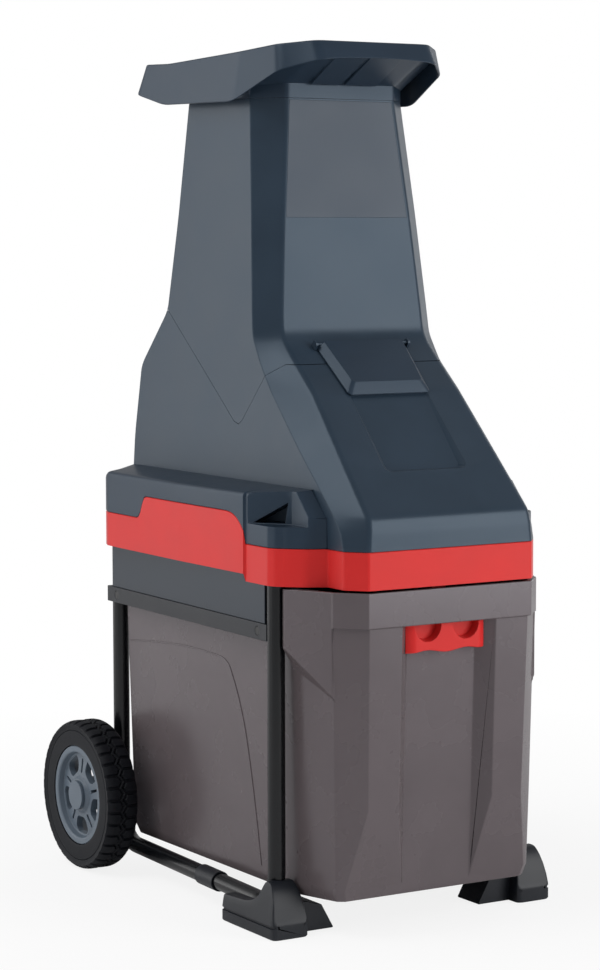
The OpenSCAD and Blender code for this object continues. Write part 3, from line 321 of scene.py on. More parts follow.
def upright(a, b, h):
    """Place of a bar that stands up."""
    return (a, b, h)


def tilted(y0, z0, run, rise):
    """Place on a slope that starts at y0, z0: across, along the slope and out of it."""
    lean = math.atan2(rise, run)
    c, s = math.cos(lean), math.sin(lean)
    return lambda a, b, h: (a, y0 + b * c - h * s, z0 + b * s + h * c)


def rounded(points, radii, steps=CORNER_STEPS):
    """Closed outline with rounded corners: (x, y, place along the outline counted in corners)."""
    out, k = [], len(points)
    for i, r in enumerate(radii):
        p = np.array(points[i], float)
        a, b = np.array(points[i - 1], float) - p, np.array(points[(i + 1) % k], float) - p
        la, lb = np.linalg.norm(a), np.linalg.norm(b)
        a, b = a / la, b / lb
        half = math.acos(max(-1, min(1, float(a @ b)))) / 2
        t = min(r / math.tan(half), CORNER_SHARE * la, CORNER_SHARE * lb) if half < STRAIGHT else 0
        if t < 0.01:
            out.append((p[0], p[1], i))
            continue
        r = t * math.tan(half)
        mid = p + (a + b) / np.linalg.norm(a + b) * r / math.sin(half)
        s, e = p + a * t - mid, p + b * t - mid
        s0, e0 = math.atan2(s[1], s[0]), math.atan2(e[1], e[0])
        sweep = (e0 - s0 + math.pi) % (2 * math.pi) - math.pi
        for j in range(steps + 1):
            w = s0 + sweep * j / steps
            place = i - t / la + (t / la + t / lb) * j / steps
            out.append((mid[0] + r * math.cos(w), mid[1] + r * math.sin(w), place))
    return out


def outline(points, radii, steps=CORNER_STEPS):
    """Closed outline with rounded corners, as plain (x, y) points."""
    return [p[:2] for p in rounded(points, radii, steps)]


def spread(path, step, loop=True):
    """Adds points along the long edges of an outline from rounded(), about step apart."""
    out, n = [], len(path)
    for i in range(n if loop else n - 1):
        p, q = np.array(path[i], float), np.array(path[(i + 1) % n], float)
        if i == n - 1:
            q[2] += round(path[-1][2] - path[0][2]) + 1
        k = max(1, round(float(np.linalg.norm(q[:2] - p[:2])) / step))
        out += [tuple(p + (q - p) * j / k) for j in range(k)]
    if not loop:
        out.append(tuple(path[-1]))
    return out


def mirrored(points):
    """The left half of an outline, from its right half."""
    return [(-x, y) for x, y in points[::-1]]


def line(table, soften):
    """Straight lines through (height, value) pairs with their corners rounded over soften millimetres."""
    zs, vs = np.array([t[0] for t in table], float), np.array([t[1] for t in table], float)

    def value(z):
        spots = z + np.linspace(-soften, soften, 9)
        found = np.interp(spots, zs, vs)
        low, high = spots < zs[0], spots > zs[-1]
        found[low] = vs[0] + (spots[low] - zs[0]) * (vs[1] - vs[0]) / (zs[1] - zs[0])
        found[high] = vs[-1] + (spots[high] - zs[-1]) * (vs[-1] - vs[-2]) / (zs[-1] - zs[-2])
        return float(found.mean())
    return value


# Body shells. Each line gives a depth or a half width over the height.

FRONT = line([(436, 0), (458, 0.8), (472, 4), (486, 17.5), (603, 131), (647, 183), (655, 192), (663, 199),
              (673, 203), (690, 205.2), (801, 216), (938, 230)], 4)
EDGE = line([(436, 22), (458, 28), (472, 40), (486, 54), (603, 181), (634, 207), (648, 216), (664, 226),
             (690, 229.5), (801, 243), (938, 262)], 6)
PANEL_HW = line([(436, 109.4), (603, 99), (690, 96), (801, 87), (938, 73.5)], 8)
SIDE = line([(436, 128), (486, 129), (537, 129), (603, 125), (690, 121), (801, 113.7), (938, 104)], 10)
REAR = line([(436, 514), (486, 513), (622, 498), (690, 436), (801, 421), (938, 410)], 8)
BODY_LOW, BODY_HIGH = 436, 937.8
BODY_SPANS = [(436, 500, 23), (500, 600, 8), (600, 700, 36), (700, 938, 12)]
BODY_RADII = [9, 9, 4, 5, 5, 4]
BODY_WALL = 3
MITRE = 0.41
PAST_FRONT, PAST_REAR, PAST_SIDE, PAST_TOP = -80, 700, 220, 1100
SEAM = [(PAST_FRONT, 634.1), (179.7, 634.1), (194.7, 622.1), (242.7, 568.1), (250.7, 563.1), (261.7, 566.1),
        (431, 691), (PAST_REAR, 691)]
SEAM_GAP, APRON_GAP = 0.7, 0.25
APRON_LOW_HW, APRON_HIGH_HW = 83, 70
APRON_LOW, APRON_HIGH = 801, 936
APRON_FRONT, APRON_REAR = 150, 239
CONTROLS_HW, CONTROLS_HL = 42, 19
INLET_HW, INLET_HH, RESET_R = 20, 15, 9.1
REAR_HOLE_X, REAR_HOLE_Z = 60, 545
REAR_FOOT_Y, REAR_FOOT_Z, REAR_RUN, REAR_RISE = 513, 486, 15, 136.1
KNOB_Y, KNOB_Z, KNOB_HOLE_R = 333, 455, 8
LABEL_RIM = outline([(-56, 3), (56, 3), (53, 117), (-53, 117)], [9, 9, 3, 3])
LABEL_FLOOR = outline([(-49, 8.5), (49, 8.5), (50.5, 115), (-50.5, 115)], [7, 7, 2, 2])
LABEL_END, LABEL_RUN = 117, 108
LABEL_LEAST, LABEL_FALL, LABEL_WALL, LABEL_SUNK = 1.4, 3.4, 3.2, 0.15
LABEL_CUT_LOW, LABEL_CUT_HIGH = -8, 12
THROUGH = 20
on_shelf = tilted(149.36, 618.555, 72, 61)
on_slope = tilted(46.4, 515.8, 80.6, 83.1)


def body_ring(z, inset):
    """Six-cornered ring round the body at a height, with three more points along each side."""
    q, f = PANEL_HW(z) - MITRE * inset, FRONT(z) + inset
    s, e, r = SIDE(z) - inset, EDGE(z) + MITRE * inset, REAR(z) - inset
    ring = outline([(-q, f), (q, f), (s, e), (s, r), (-s, r), (-s, e)], BODY_RADII)
    out = []
    for i, (x, y) in enumerate(ring):
        out.append((x, y, z))
        if i % (CORNER_STEPS + 1) == CORNER_STEPS:
            next_x, next_y = ring[(i + 1) % len(ring)]
            out += [(x + (next_x - x) * t, y + (next_y - y) * t, z) for t in (0.25, 0.5, 0.75)]
    return out


def body_shell():
    """Skin of the hopper and the lower housing in one piece."""
    zs = np.unique(np.round(np.concatenate([np.linspace(*span) for span in BODY_SPANS]), 2))
    zs = [BODY_LOW] + [z for z in zs if BODY_LOW + 1 < z < BODY_HIGH - 1] + [BODY_HIGH]
    rows = [body_ring(z, 0) for z in zs] + [body_ring(z, BODY_WALL) for z in zs[::-1]]
    return mesh_of(*grid([[row[i] for row in rows] for i in range(len(rows[0]))], loop=True, ring=True))


def hopper_region(drop):
    """Room above the seam between the hopper and the lower housing, which is lowered by drop."""
    points = [(y, z - drop) for y, z in SEAM] + [(PAST_REAR, PAST_TOP), (PAST_FRONT, PAST_TOP)]
    return prism(points, -PAST_SIDE, PAST_SIDE, lambda a, b, h: (h, a, b))


def apron_region(gap):
    """Room of the front apron, less a gap all round."""
    low_hw, high_hw = APRON_LOW_HW - gap, APRON_HIGH_HW - gap
    low, high = APRON_LOW + gap, APRON_HIGH - gap
    points = [(-low_hw, low), (low_hw, low), (high_hw, high), (-high_hw, high)]
    return prism(points, APRON_FRONT, APRON_REAR, lambda a, b, h: (a, h, b))


def on_rear(cx):
    """Place on the rear wall round one of its holes: across, up the wall and out of it."""
    tilt = math.atan2(REAR_RUN, REAR_RISE)
    c, s = math.cos(tilt), math.sin(tilt)
    y0 = REAR_FOOT_Y - REAR_RUN * (REAR_HOLE_Z - REAR_FOOT_Z) / REAR_RISE
    return lambda a, b, h: (cx + a, y0 + h * c - b * s, REAR_HOLE_Z + h * s + b * c)


def knob_hole(low, high):
    """Round hole for the adjusting screw, between two places across."""
    return round_bar(KNOB_HOLE_R, low, high, lambda a, b, h: (h, KNOB_Y + a, KNOB_Z + b))


def label_tray():
    """Sunk field on the slope: its floor lies deeper towards the lower edge."""
    columns = []
    for (a, b), (c, d) in zip(LABEL_RIM, LABEL_FLOOR):
        deep = LABEL_LEAST + LABEL_FALL * (LABEL_END - d) / LABEL_RUN
        columns.append([on_slope(a, b, -LABEL_WALL - deep), on_slope(a, b, -LABEL_SUNK),
                        on_slope(c, d, -deep)])
    verts, faces = grid(columns, loop=True)
    n = len(columns)
    faces += [tuple(i * 3 + 2 for i in range(n)), tuple(i * 3 for i in range(n))]
    return mesh_of(verts, faces)


shell = body_shell()
hopper = carve(shell.copy(), hopper_region(0), "INTERSECT")
apron = carve(hopper.copy(), apron_region(APRON_GAP), "INTERSECT")
hopper = cut(hopper, apron_region(0))
lower = cut(shell, hopper_region(SEAM_GAP),
            slab(-CONTROLS_HW, CONTROLS_HW, -CONTROLS_HL, CONTROLS_HL, -THROUGH, 2 * THROUGH, on_shelf),
            prism(LABEL_RIM, LABEL_CUT_LOW, LABEL_CUT_HIGH, on_slope), knob_hole(100, 200),
            slab(-INLET_HW, INLET_HW, -INLET_HH, INLET_HH, -THROUGH, THROUGH, on_rear(REAR_HOLE_X)),
            round_bar(RESET_R, -THROUGH, THROUGH, on_rear(-REAR_HOLE_X)))
show("hopper_shell", hopper, "slate", ["hopper"], sharp=30)
show("front_apron_panel", apron, "slate_panel", ["front_apron"], sharp=30)
show("lower_housing_shell", lower, "slate", ["lower_housing"], sharp=30)
show("label_tray", label_tray(), "slate", body="frame", sharp=30)


# Feed lip. Each list has a value for each corner of its right half, from the front to the rear.

LIP_LOW_PLAN = [(77.5, 148), (111, 186.5), (125, 268), (125, 434), (124, 502), (115, 512)]
LIP_TOP_PLAN = [(76, 160.5), (108.5, 193), (119, 262), (121, 428), (121, 484), (112, 492)]
LIP_FOOT = [(74, 229.5), (104.5, 262), (104.5, 285), (104.5, 378), (104.5, 405.5), (99.5, 410.5)]
LIP_NECK = [955, 952, 940, 939, 944, 948]
LIP_LOW = [977, 966, 934, 937, 952, 956]
LIP_HIGH = [999.6, 996, 991, 986, 988, 988]
LIP_MID = np.array([0, 332])
LIP_STEP = 3
NECK_Z, NECK_WALL = 938.3, 4
# Height above the low edge, or below the high edge, with the depth into the wall there.
LOW_EDGE = [(1.2, 3.0), (0.2, 2.2), (0, 1.4), (0.5, 0.4), (1.6, 0)]
HIGH_EDGE = [(1.8, 0), (0.5, 0.4), (0, 1.4), (0, 2.4), (0.6, 3.4), (7.5, 4)]
FLOOR_BELOW, FLOOR_INSET = 11, 3.4
# The low edge bows up at the front: by how much, over which half width, and in front of which depth.
BOW, BOW_HW, BOW_DEPTH = 3.5, 76, 152
BRIM_RUN, BRIM_RISE = 0.893, 0.45
STRAP_START, STRAP_END, STRAP_UP, STRAP_DOWN, STRAP_ROUND = 3, 66, 1.5, 3.2, 0.9
STRAPS = [(-44, -3), (2, 46)]


def closed_smooth(values, reach):
    """Moving average round a closed list."""
    n = len(values)
    idx = np.arange(-reach, reach + 1)
    return np.array([np.mean([values[(i + k) % n] for k in idx], axis=0) for i in range(n)])


def lip_points():
    """The lip's lists round both halves, with points added between the corners."""
    rows = [(*a, *b, *c, n, lo, hi) for a, b, c, n, lo, hi in
            zip(LIP_LOW_PLAN, LIP_TOP_PLAN, LIP_FOOT, LIP_NECK, LIP_LOW, LIP_HIGH)]
    ring = rows + [(-r[0], r[1], -r[2], r[3], -r[4], r[5], *r[6:]) for r in rows[::-1]]
    out = []
    for i, p in enumerate(ring):
        p, q = np.array(p), np.array(ring[(i + 1) % len(ring)])
        k = max(2, round(float(np.linalg.norm(q[:2] - p[:2])) / LIP_STEP))
        out += [p + (q - p) * j / k for j in range(k)]
    return np.array(out)


def feed_lip():
    """Hollow brim: a thin wall that hangs round a floor, which slopes from the neck up to the rim."""
    pts = lip_points()
    low_plan, top_plan = closed_smooth(pts[:, :2], 2), closed_smooth(pts[:, 2:4], 2)
    foot, neck = closed_smooth(pts[:, 4:6], 1), closed_smooth(pts[:, 6], 4)
    low, high = closed_smooth(pts[:, 7], 4), closed_smooth(pts[:, 8], 4)
    columns = []
    for p, q, f, zn, lo, hi in zip(low_plan, top_plan, foot, neck, low, high):
        if p[1] < BOW_DEPTH:
            lo += BOW * max(0, 1 - (p[0] / BOW_HW) ** 2)
        inward = (LIP_MID - p) / np.linalg.norm(LIP_MID - p)
        fin = f + (LIP_MID - f) / np.linalg.norm(LIP_MID - f) * NECK_WALL

        def wall(z, depth):
            return (*(p + (q - p) * (z - lo) / (hi - lo) + inward * depth), z)
        column = [(*f, NECK_Z), (*f, zn), wall(hi - FLOOR_BELOW, FLOOR_INSET)]
        column += [wall(lo + up, depth) for up, depth in LOW_EDGE]
        column += [wall((lo + hi) / 2, 0)]
        column += [wall(hi - down, depth) for down, depth in HIGH_EDGE]
        columns.append(column + [(*fin, zn + NECK_WALL), (*fin, NECK_Z)])
    return mesh_of(*grid(columns, loop=True, ring=True))


def under_brim(a, b, h):
    """Point under the front of the brim: across, along the floor from the neck, and down from it."""
    return (a, LIP_FOOT[0][1] - BRIM_RUN * b - BRIM_RISE * h, LIP_NECK[0] + BRIM_RISE * b - BRIM_RUN * h)


def strap(x0, x1):
    """Flat rib under the front of the brim."""
    bar = slab(x0, x1, STRAP_START, STRAP_END, -STRAP_UP, STRAP_DOWN, under_brim)
    return soft_mesh(taken(bar), STRAP_ROUND)


for k, (x0, x1) in enumerate(STRAPS):
    show(f"brim_strap_{k}", strap(x0, x1), "slate_dark", body="frame")
show("feed_lip_rim", feed_lip(), "slate_dark", ["feed_lip"], sharp=50)


# Base: dark skirt with its ledge, and the red band under it. HALF is the right half of the outline from the
# nose to the rear, HALF_R its corner radii, EDGE_Z the ledge's height there and INNER its inner edge.

HALF = [(128.4, 55), (150, 66), (168, 83), (175, 91), (178, 101), (178, 148), (180.5, 150), (180.5, 300),
        (176, 489), (167, 511), (145, 520)]
HALF_R = [1, 30, 16, 14, 14, 0.6, 0.6, 300, 24, 14, 22]
EDGE_Z = [494, 494, 494, 494, 494, 494, 494, 493, 493, 488, 485]
INNER = [(129.6, 80), (129.6, 84), (129.6, 90), (129.6, 98), (129.6, 110), (129.6, 149), (129.6, 151),
         (129.6, 300), (129.6, 490), (127, 509), (106, 514)]
INNER_Z = 499
LAST = len(HALF) - 1
PATH_STEP = 5
SKIRT_GAP = 0.5
# The ledge's rounded edge: how far in, and what share of the rounding is left below the edge's height.
LEDGE_ROUND = 5.0
LEDGE_CURVE = [(0.7, 0.42), (2.0, 0.1)]
# Depth and height of the red band's top edge.
BAND_TOP = [(0, 435.5), (149.2, 435.5), (149.8, 450), (156, 457), (166, 464.5), (176, 468.5), (188, 470),
            (384, 470), (391, 468), (398, 452), (406, 443), (600, 443)]
BAND_STEP_Y, BAND_LOW_FRONT, BAND_LOW_REAR = 149.5, 393.4, 402
BAND_WALL, BAND_ROUND = 3, 0.8
BAND_NOSE_HW, BAND_NOSE_SIDE = 109.4, [(128, 22), (128, 54)]
BLOCK_PLAN = [(196, 169), (180.5, 147.5), (147, 99.5), (147, 40), (196, 40)]
BLOCK_Z, BLOCK_ROOM_TOP = 459.5, 540
CHEEK_TURN = math.radians(25)
CHEEK_AT = (128, 56, 470)
CHEEK_SIDE = [(-60, 0), (-0.6, 0), (24, 28), (24, 70), (-60, 70)]
CHEEK_FROM, CHEEK_TO = -24, 34
# Corners of the hole in the end wall, one step out of the wall, and the steps where the tool starts and ends.
END_HOLE = [(174, 138.2, 460.2), (149.6, 103.2, 484), (151.8, 106.4, 460.2)]
END_OUT_X, END_OUT_Y = 4.1, -2.9
END_STEPS = (1, -5)


def base_path():
    """The base's outline from the nose round the back to the nose: x, y and place in the lists above."""
    return spread(rounded(HALF + mirrored(HALF), HALF_R + HALF_R[::-1]), PATH_STEP, loop=False)


def looked_up(values, u):
    """Value at a place along the outline, from a list for its right half."""
    both = list(values) + list(values)[::-1]
    return float(np.interp(u, np.arange(len(both)), both))


def band_top(y):
    """Height of the red band's top edge at a depth."""
    return float(np.interp(y, *zip(*BAND_TOP)))


def base_skirt():
    """Wall and ledge round the body, open at the front."""
    columns = []
    r, rear_x = LEDGE_ROUND, INNER[LAST][0]
    for x, y, u in base_path():
        ix = looked_up([p[0] for p in INNER], u) * (1 if u < LAST + 0.5 else -1)
        if LAST < u < LAST + 1:
            ix = rear_x - 2 * rear_x * (u - LAST)
        iy = looked_up([p[1] for p in INNER], u)
        ze, zb = looked_up(EDGE_Z, u), band_top(y) + SKIRT_GAP
        o, i = np.array([x, y]), np.array([ix, iy])
        run = np.linalg.norm(i - o)
        d = (i - o) / run
        fall = (INNER_Z - ze) / run

        def step(along, z):
            return (*(o + d * along), z)
        column = [(*o, zb), (*o, ze - r)] + [step(along, ze - r * share) for along, share in LEDGE_CURVE]
        column += [step(r, ze + fall * r), step(run * 0.5, ze + fall * run * 0.5), (*i, INNER_Z), (*i, zb)]
        columns.append(column)
    return mesh_of(*grid(columns, loop=False, ring=True))


def block_room(sign):
    """Room over a front block, up to the slanted end wall of the ledge."""
    return prism([(sign * x, y) for x, y in BLOCK_PLAN], BLOCK_Z, BLOCK_ROOM_TOP, upright)


def cheek_room(sign):
    """Room over the slanted cheek between a front block and the nose."""
    c, t = math.cos(CHEEK_TURN), math.sin(CHEEK_TURN)
    x, y, z = CHEEK_AT
    return prism(CHEEK_SIDE, CHEEK_FROM, CHEEK_TO,
                 lambda a, b, h: (sign * (x + h * c - a * t), y + h * t + a * c, z + b))


def end_hole(sign):
    """Three-cornered hole in the end wall of the ledge."""
    verts = [(sign * (x + END_OUT_X * d), y + END_OUT_Y * d, z) for d in END_STEPS for x, y, z in END_HOLE]
    faces = [(0, 1, 2), (5, 4, 3), (0, 3, 4, 1), (1, 4, 5, 2), (2, 5, 3, 0)]
    return tool_of(verts, faces)


def band_path():
    """The band's outline, round the nose as well."""
    side, radii = BAND_NOSE_SIDE + HALF[1:], [7, 2] + HALF_R[1:]
    front = [(-BAND_NOSE_HW, 0), (BAND_NOSE_HW, 0)]
    return spread(rounded(front + side + mirrored(side), [5, 5] + radii + radii[::-1]), PATH_STEP)


def red_band():
    """Thin wall along the band's outline, with its top edge stepped."""
    path = band_path()
    columns, n = [], len(path)
    for k, (x, y, _) in enumerate(path):
        a, b = np.array(path[k - 1][:2]), np.array(path[(k + 1) % n][:2])
        t = (b - a) / np.linalg.norm(b - a)
        dx, dy = np.array([-t[1], t[0]]) * BAND_WALL
        top = band_top(y)
        low = BAND_LOW_FRONT if y < BAND_STEP_Y else BAND_LOW_REAR
        columns.append([(x, y, low), (x, y, top - BAND_ROUND), (x + dx * 0.25, y + dy * 0.25, top),
                        (x + dx, y + dy, top), (x + dx, y + dy, low)])
    return mesh_of(*grid(columns, loop=True, ring=True))


skirt = base_skirt()
for sign in (1, -1):
    skirt = cut(skirt, block_room(sign), cheek_room(sign), end_hole(sign))
show("base_skirt_shell", soft_mesh(skirt, 0.9, 2, 40), "slate_dark", ["base_skirt"], sharp=34)
show("red_band_ring", cut(red_band(), knob_hole(150, 250)), "red", ["red_band"], sharp=34)


# Wheels. A profile has pairs of radius and depth from the outer face.

AXLE_Y, AXLE_Z, FACE_X = 505, 92, 216
WHEEL_TURN, SPOKES = 52, 5
CUT_LOW, CUT_HIGH = 6, 30
BLOCKS, BLOCK_STEPS = 38, 12
TYRE_W = 41
MID_W = TYRE_W / 2
ZIGZAG, RIB_HW, GROOVE_HW, GAP_SHARE = 2.4, 1.6, 4.0, 0.15
RIB_DEPTH, TREAD_DEPTH = 0.4, 2.6
TYRE_OUTER = [(61.6, 2.2), (66, 1.9), (78, 1.7), (79.6, 1.7), (80.2, 2.5), (80.8, 1.7), (84, 1.5),
              (87.2, 0.1)]
TYRE_INNER = [(87.0, 40.9), (84, 39.5), (78, 39.2), (66, 38.6), (61.6, 38.2)]
CROWN_HALF = [(87.9, 0.2), (89, 1.6), (90.2, 3.2), (91.2, 5.5), (91.8, 8)]
CROWN_HALF += [(92, w) for w in (10, 12, 13.5, 15, 16.2, 17.4, 18.6, 19.8)]
CROWN = CROWN_HALF + [(r, TYRE_W - w) for r, w in CROWN_HALF[::-1]]
RIM_PROFILE = [(6.1, 4.2), (17, 4.2), (20, 4.8), (21.6, 6.6), (23.4, 8.2), (38, 9.7), (50.2, 10.8),
               (51.4, 10.4), (53, 4.4), (54, 3.4), (55, 3.05), (60.2, 3.05), (61.2, 3.8), (61.3, 37),
               (53.5, 37), (51.5, 19), (21, 17), (21, 39), (6.1, 39)]
RIM_STEPS = 120
TEAR = outline([(28, -10.5), (48.5, -18), (48.5, 18), (28, 10.5)], [8] * 4, 8)
SLIT = outline([(27, -1.7), (45, -1.7), (45, 1.7), (27, 1.7)], [1.6] * 4, 4)


def wheel_point(sign, r, a, w):
    """Point of a wheel: radius, angle from the front upwards, and depth from the outer face."""
    return (sign * (FACE_X - w), AXLE_Y - r * math.cos(a), AXLE_Z + r * math.sin(a))


def tread(turn, w):
    """How far the tread is sunk at a place across the tyre."""
    phase = (turn * BLOCKS + (0.0 if w > MID_W else 0.5)) % 1.0
    zig = ZIGZAG * (abs(((turn * BLOCKS) % 1.0) - 0.5) * 4 - 1)
    from_mid = abs(w - MID_W - zig)
    if from_mid < RIB_HW:
        return RIB_DEPTH
    if from_mid < GROOVE_HW:
        return TREAD_DEPTH
    return TREAD_DEPTH if min(phase, 1 - phase) < GAP_SHARE else 0.0


def tyre(sign):
    """Tyre with a zigzag rib in the middle and blocks on both shoulders."""
    steps = BLOCKS * BLOCK_STEPS
    columns = []
    for i in range(steps):
        turn = i / steps
        a = 2 * math.pi * turn
        column = [wheel_point(sign, r, a, w) for r, w in TYRE_OUTER]
        for r, w in CROWN:
            ease = min(1.0, max(0.35, min(w, TYRE_W - w) / 5))
            column.append(wheel_point(sign, r - tread(turn, w) * ease, a, w))
        columns.append(column + [wheel_point(sign, r, a, w) for r, w in TYRE_INNER])
    return mesh_of(*grid(columns, loop=True, ring=True))


def turned(points, angle):
    """Points turned about the axle."""
    c, s = math.cos(angle), math.sin(angle)
    return [(x * c - y * s, x * s + y * c) for x, y in points]


def wheel_cut(sign, points):
    """Bar through the face of a rim."""
    return prism(points, CUT_LOW, CUT_HIGH, lambda a, b, h: (sign * (FACE_X - h), AXLE_Y - a, AXLE_Z + b))


def rim(sign):
    """Rim with five wide openings and a slit in each spoke."""
    turns = [2 * math.pi * i / RIM_STEPS for i in range(RIM_STEPS)]
    columns = [[wheel_point(sign, r, a, w) for r, w in RIM_PROFILE] for a in turns]
    me = mesh_of(*grid(columns, loop=True, ring=True))
    for i in range(SPOKES):
        for hole, offset in ((TEAR, 0), (SLIT, 180 / SPOKES)):
            angle = math.radians(WHEEL_TURN + offset + 360 / SPOKES * i)
            me = cut(me, wheel_cut(sign, turned(hole, angle)))
    return soft_mesh(me, 0.6, 2, 50)


for side, sign in SIDES:
    show(f"tyre_{side}_tread", tyre(sign), "tyre", [f"tyre_{side}"], sharp=40)
    show(f"wheel_rim_{side}_look", rim(sign), "wheel_grey", [f"wheel_rim_{side}"], sharp=30)
    refine(f"hub_cap_{side}", 0.7, 3, slot="wheel_grey")


# Collecting box, with the line along each side, and the latch

SIDE_LINE = [(478, 284), (415, 290), (350, 294), (285, 294), (242, 290), (224, 270), (208, 238), (196, 203),
             (181, 136), (168, 62)]
BOX_HW, BOX_TAPER, BOX_TAPER_Z, BOX_TAPER_RUN = 152, 5, 351, 292
BEAD_R, BEAD_SIDES, BEAD_OUT = 0.9, 8, 0.1
PATH_POINTS = 8
LATCH_HW, LATCH_FULL_HW, LATCH_BACK_HW, LATCH_BEND_HW = 52.6, 52.7, 46.2, 40
LATCH_LOW, LATCH_HIGH, LATCH_WAVE = 319.2, 350.4, 1.6
LATCH_FRONT, LATCH_DEEPEST, LATCH_BACK = 8.2, 18.8, 19.35
LATCH_BEND, LATCH_ROUND = 5.0, 0.9
LATCH_COLUMNS, LATCH_ROWS = 132, 41
CUP_X, CUP_HW, CUP_TOP, CUP_H, CUP_DEPTH, CUP_WALL = 25.5, 17.5, 350, 19.5, 10.4, 2.0
# The stem's and the tongue's front, low end and high end.
STEM_HW, STEM_REAR = 9, 30.1
STEM, TONGUE = (19.3, 327.6, 346.4), (25.2, 330, 391.7)


def smooth_path(points):
    """Curve through all the points."""
    pts = [np.array(p, float) for p in points]
    pts = [2 * pts[0] - pts[1]] + pts + [2 * pts[-1] - pts[-2]]
    out = []
    for i in range(1, len(pts) - 2):
        a, b, c, d = pts[i - 1:i + 3]
        for j in range(PATH_POINTS):
            t = j / PATH_POINTS
            out.append(0.5 * (2 * b + (c - a) * t + (2 * a - 5 * b + 4 * c - d) * t * t
                              + (3 * b - a - 3 * c + d) * t ** 3))
    return out + [pts[-2]]


def bead(path):
    """Thin tube along a path of points."""
    path = [np.array(p, float) for p in path]
    turns = [2 * math.pi * k / BEAD_SIDES for k in range(BEAD_SIDES)]
    columns = []
    for i, p in enumerate(path):
        t = path[min(i + 1, len(path) - 1)] - path[max(i - 1, 0)]
        t /= np.linalg.norm(t)
        u = np.cross(t, (1, 0, 0))
        u /= np.linalg.norm(u)
        v = np.cross(t, u)
        columns.append([tuple(p + BEAD_R * (u * math.cos(a) + v * math.sin(a))) for a in turns])
    return mesh_of(*grid(columns, loop=False, ring=True))


def box_line(sign):
    """Raised line on a side of the box, which tapers downwards."""
    path = []
    for y, z in smooth_path(SIDE_LINE):
        path.append((sign * (BOX_HW - BOX_TAPER * (BOX_TAPER_Z - z) / BOX_TAPER_RUN + BEAD_OUT), y, z))
    return bead(path)


def latch_depth(x, z):
    """How deep the latch's front is sunk: two round finger cups open to the top, a web between them."""
    dx = abs(abs(x) - CUP_X) / CUP_HW
    if dx >= 1:
        return 0.0
    floor_z = CUP_TOP - CUP_H * math.sqrt(1 - dx * dx)
    return CUP_DEPTH * min(1, max(0, (z - floor_z) / CUP_WALL))


def latch_face():
    """Grip of the latch: a waved low edge, ends bent back and two finger cups."""
    columns = []
    for x in np.round(np.linspace(-LATCH_HW, LATCH_HW, LATCH_COLUMNS), 3):
        wave = math.cos(2 * math.pi * x / LATCH_HW) * (1 if abs(x) < LATCH_BEND_HW else 0.4)
        low = LATCH_LOW - LATCH_WAVE * wave
        fall = LATCH_BEND * max(0, (abs(x) - LATCH_BEND_HW) / (LATCH_HW - LATCH_BEND_HW)) ** 2
        column = []
        for k, z in enumerate(np.linspace(low, LATCH_HIGH, LATCH_ROWS)):
            edge = LATCH_ROUND if k in (0, LATCH_ROWS - 1) else 0
            column.append((x, min(LATCH_DEEPEST, LATCH_FRONT + latch_depth(x, z) + edge + fall), z))
        back_x = x * LATCH_BACK_HW / LATCH_FULL_HW
        columns.append(column + [(back_x, LATCH_BACK, LATCH_HIGH), (back_x, LATCH_BACK, low)])
    return mesh_of(*grid(columns, loop=False, ring=True))


def latch_stem():
    """Stem behind the grip, with the tongue that holds the box."""
    stem, tongue = [slab(-STEM_HW, STEM_HW, front, STEM_REAR, low, high, upright)
                    for front, low, high in (STEM, TONGUE)]
    return carve(taken(stem), tongue, "UNION")


refine("collecting_box", 1.2, 2, 24)
for side, sign in SIDES:
    show(f"box_line_{side}", box_line(sign), "smoke", body="box", sharp=60)
show("latch_grip", latch_face(), "red", ["box_latch"], sharp=35)
show("latch_stem", latch_stem(), "red", body="latch")


# Feet

# Depth, height, and how far both sides are tucked in there.
FOOT_STATIONS = [(70.2, 15, 7), (71.0, 18, 3.4), (72.4, 22, 1.2), (74.5, 32, 0.3), (78, 44, 0), (82, 52, 0),
                 (86, 57.5, 0), (90, 61, 0), (94, 61.9, 0), (98, 61.9, 0), (101, 60, 0), (104, 55.5, 0),
                 (107, 50, 0), (111, 44, 0), (116, 40, 0), (122, 37.2, 0), (130, 34.6, 0), (140, 33.2, 0),
                 (160, 32.2, 0), (183, 31, 0.4), (185.6, 30.4, 1.4), (187, 29, 3.4)]
FOOT_OUTER, FOOT_INNER = 190.5, 143
FOOT_LEAN, LEAN_FROM, LEAN_OVER = 8, 20, 42
SOLE_TOP, SOLE_ROUND = 12.6, 1.5
GROOVE_LOW, GROOVE_HIGH, GROOVE_DEPTH = 13.2, 15.6, 1.8
SHOE_LOW, SHOE_ROUND = 16.2, 3
WING = [(149, 0.2), (100.2, 0.2), (100.2, 2), (115.4, 29), (136.4, 34.8), (149, 34.8)]
WING_FRONT, WING_REAR, WING_ROUND = 88.2, 131.8, 1.2


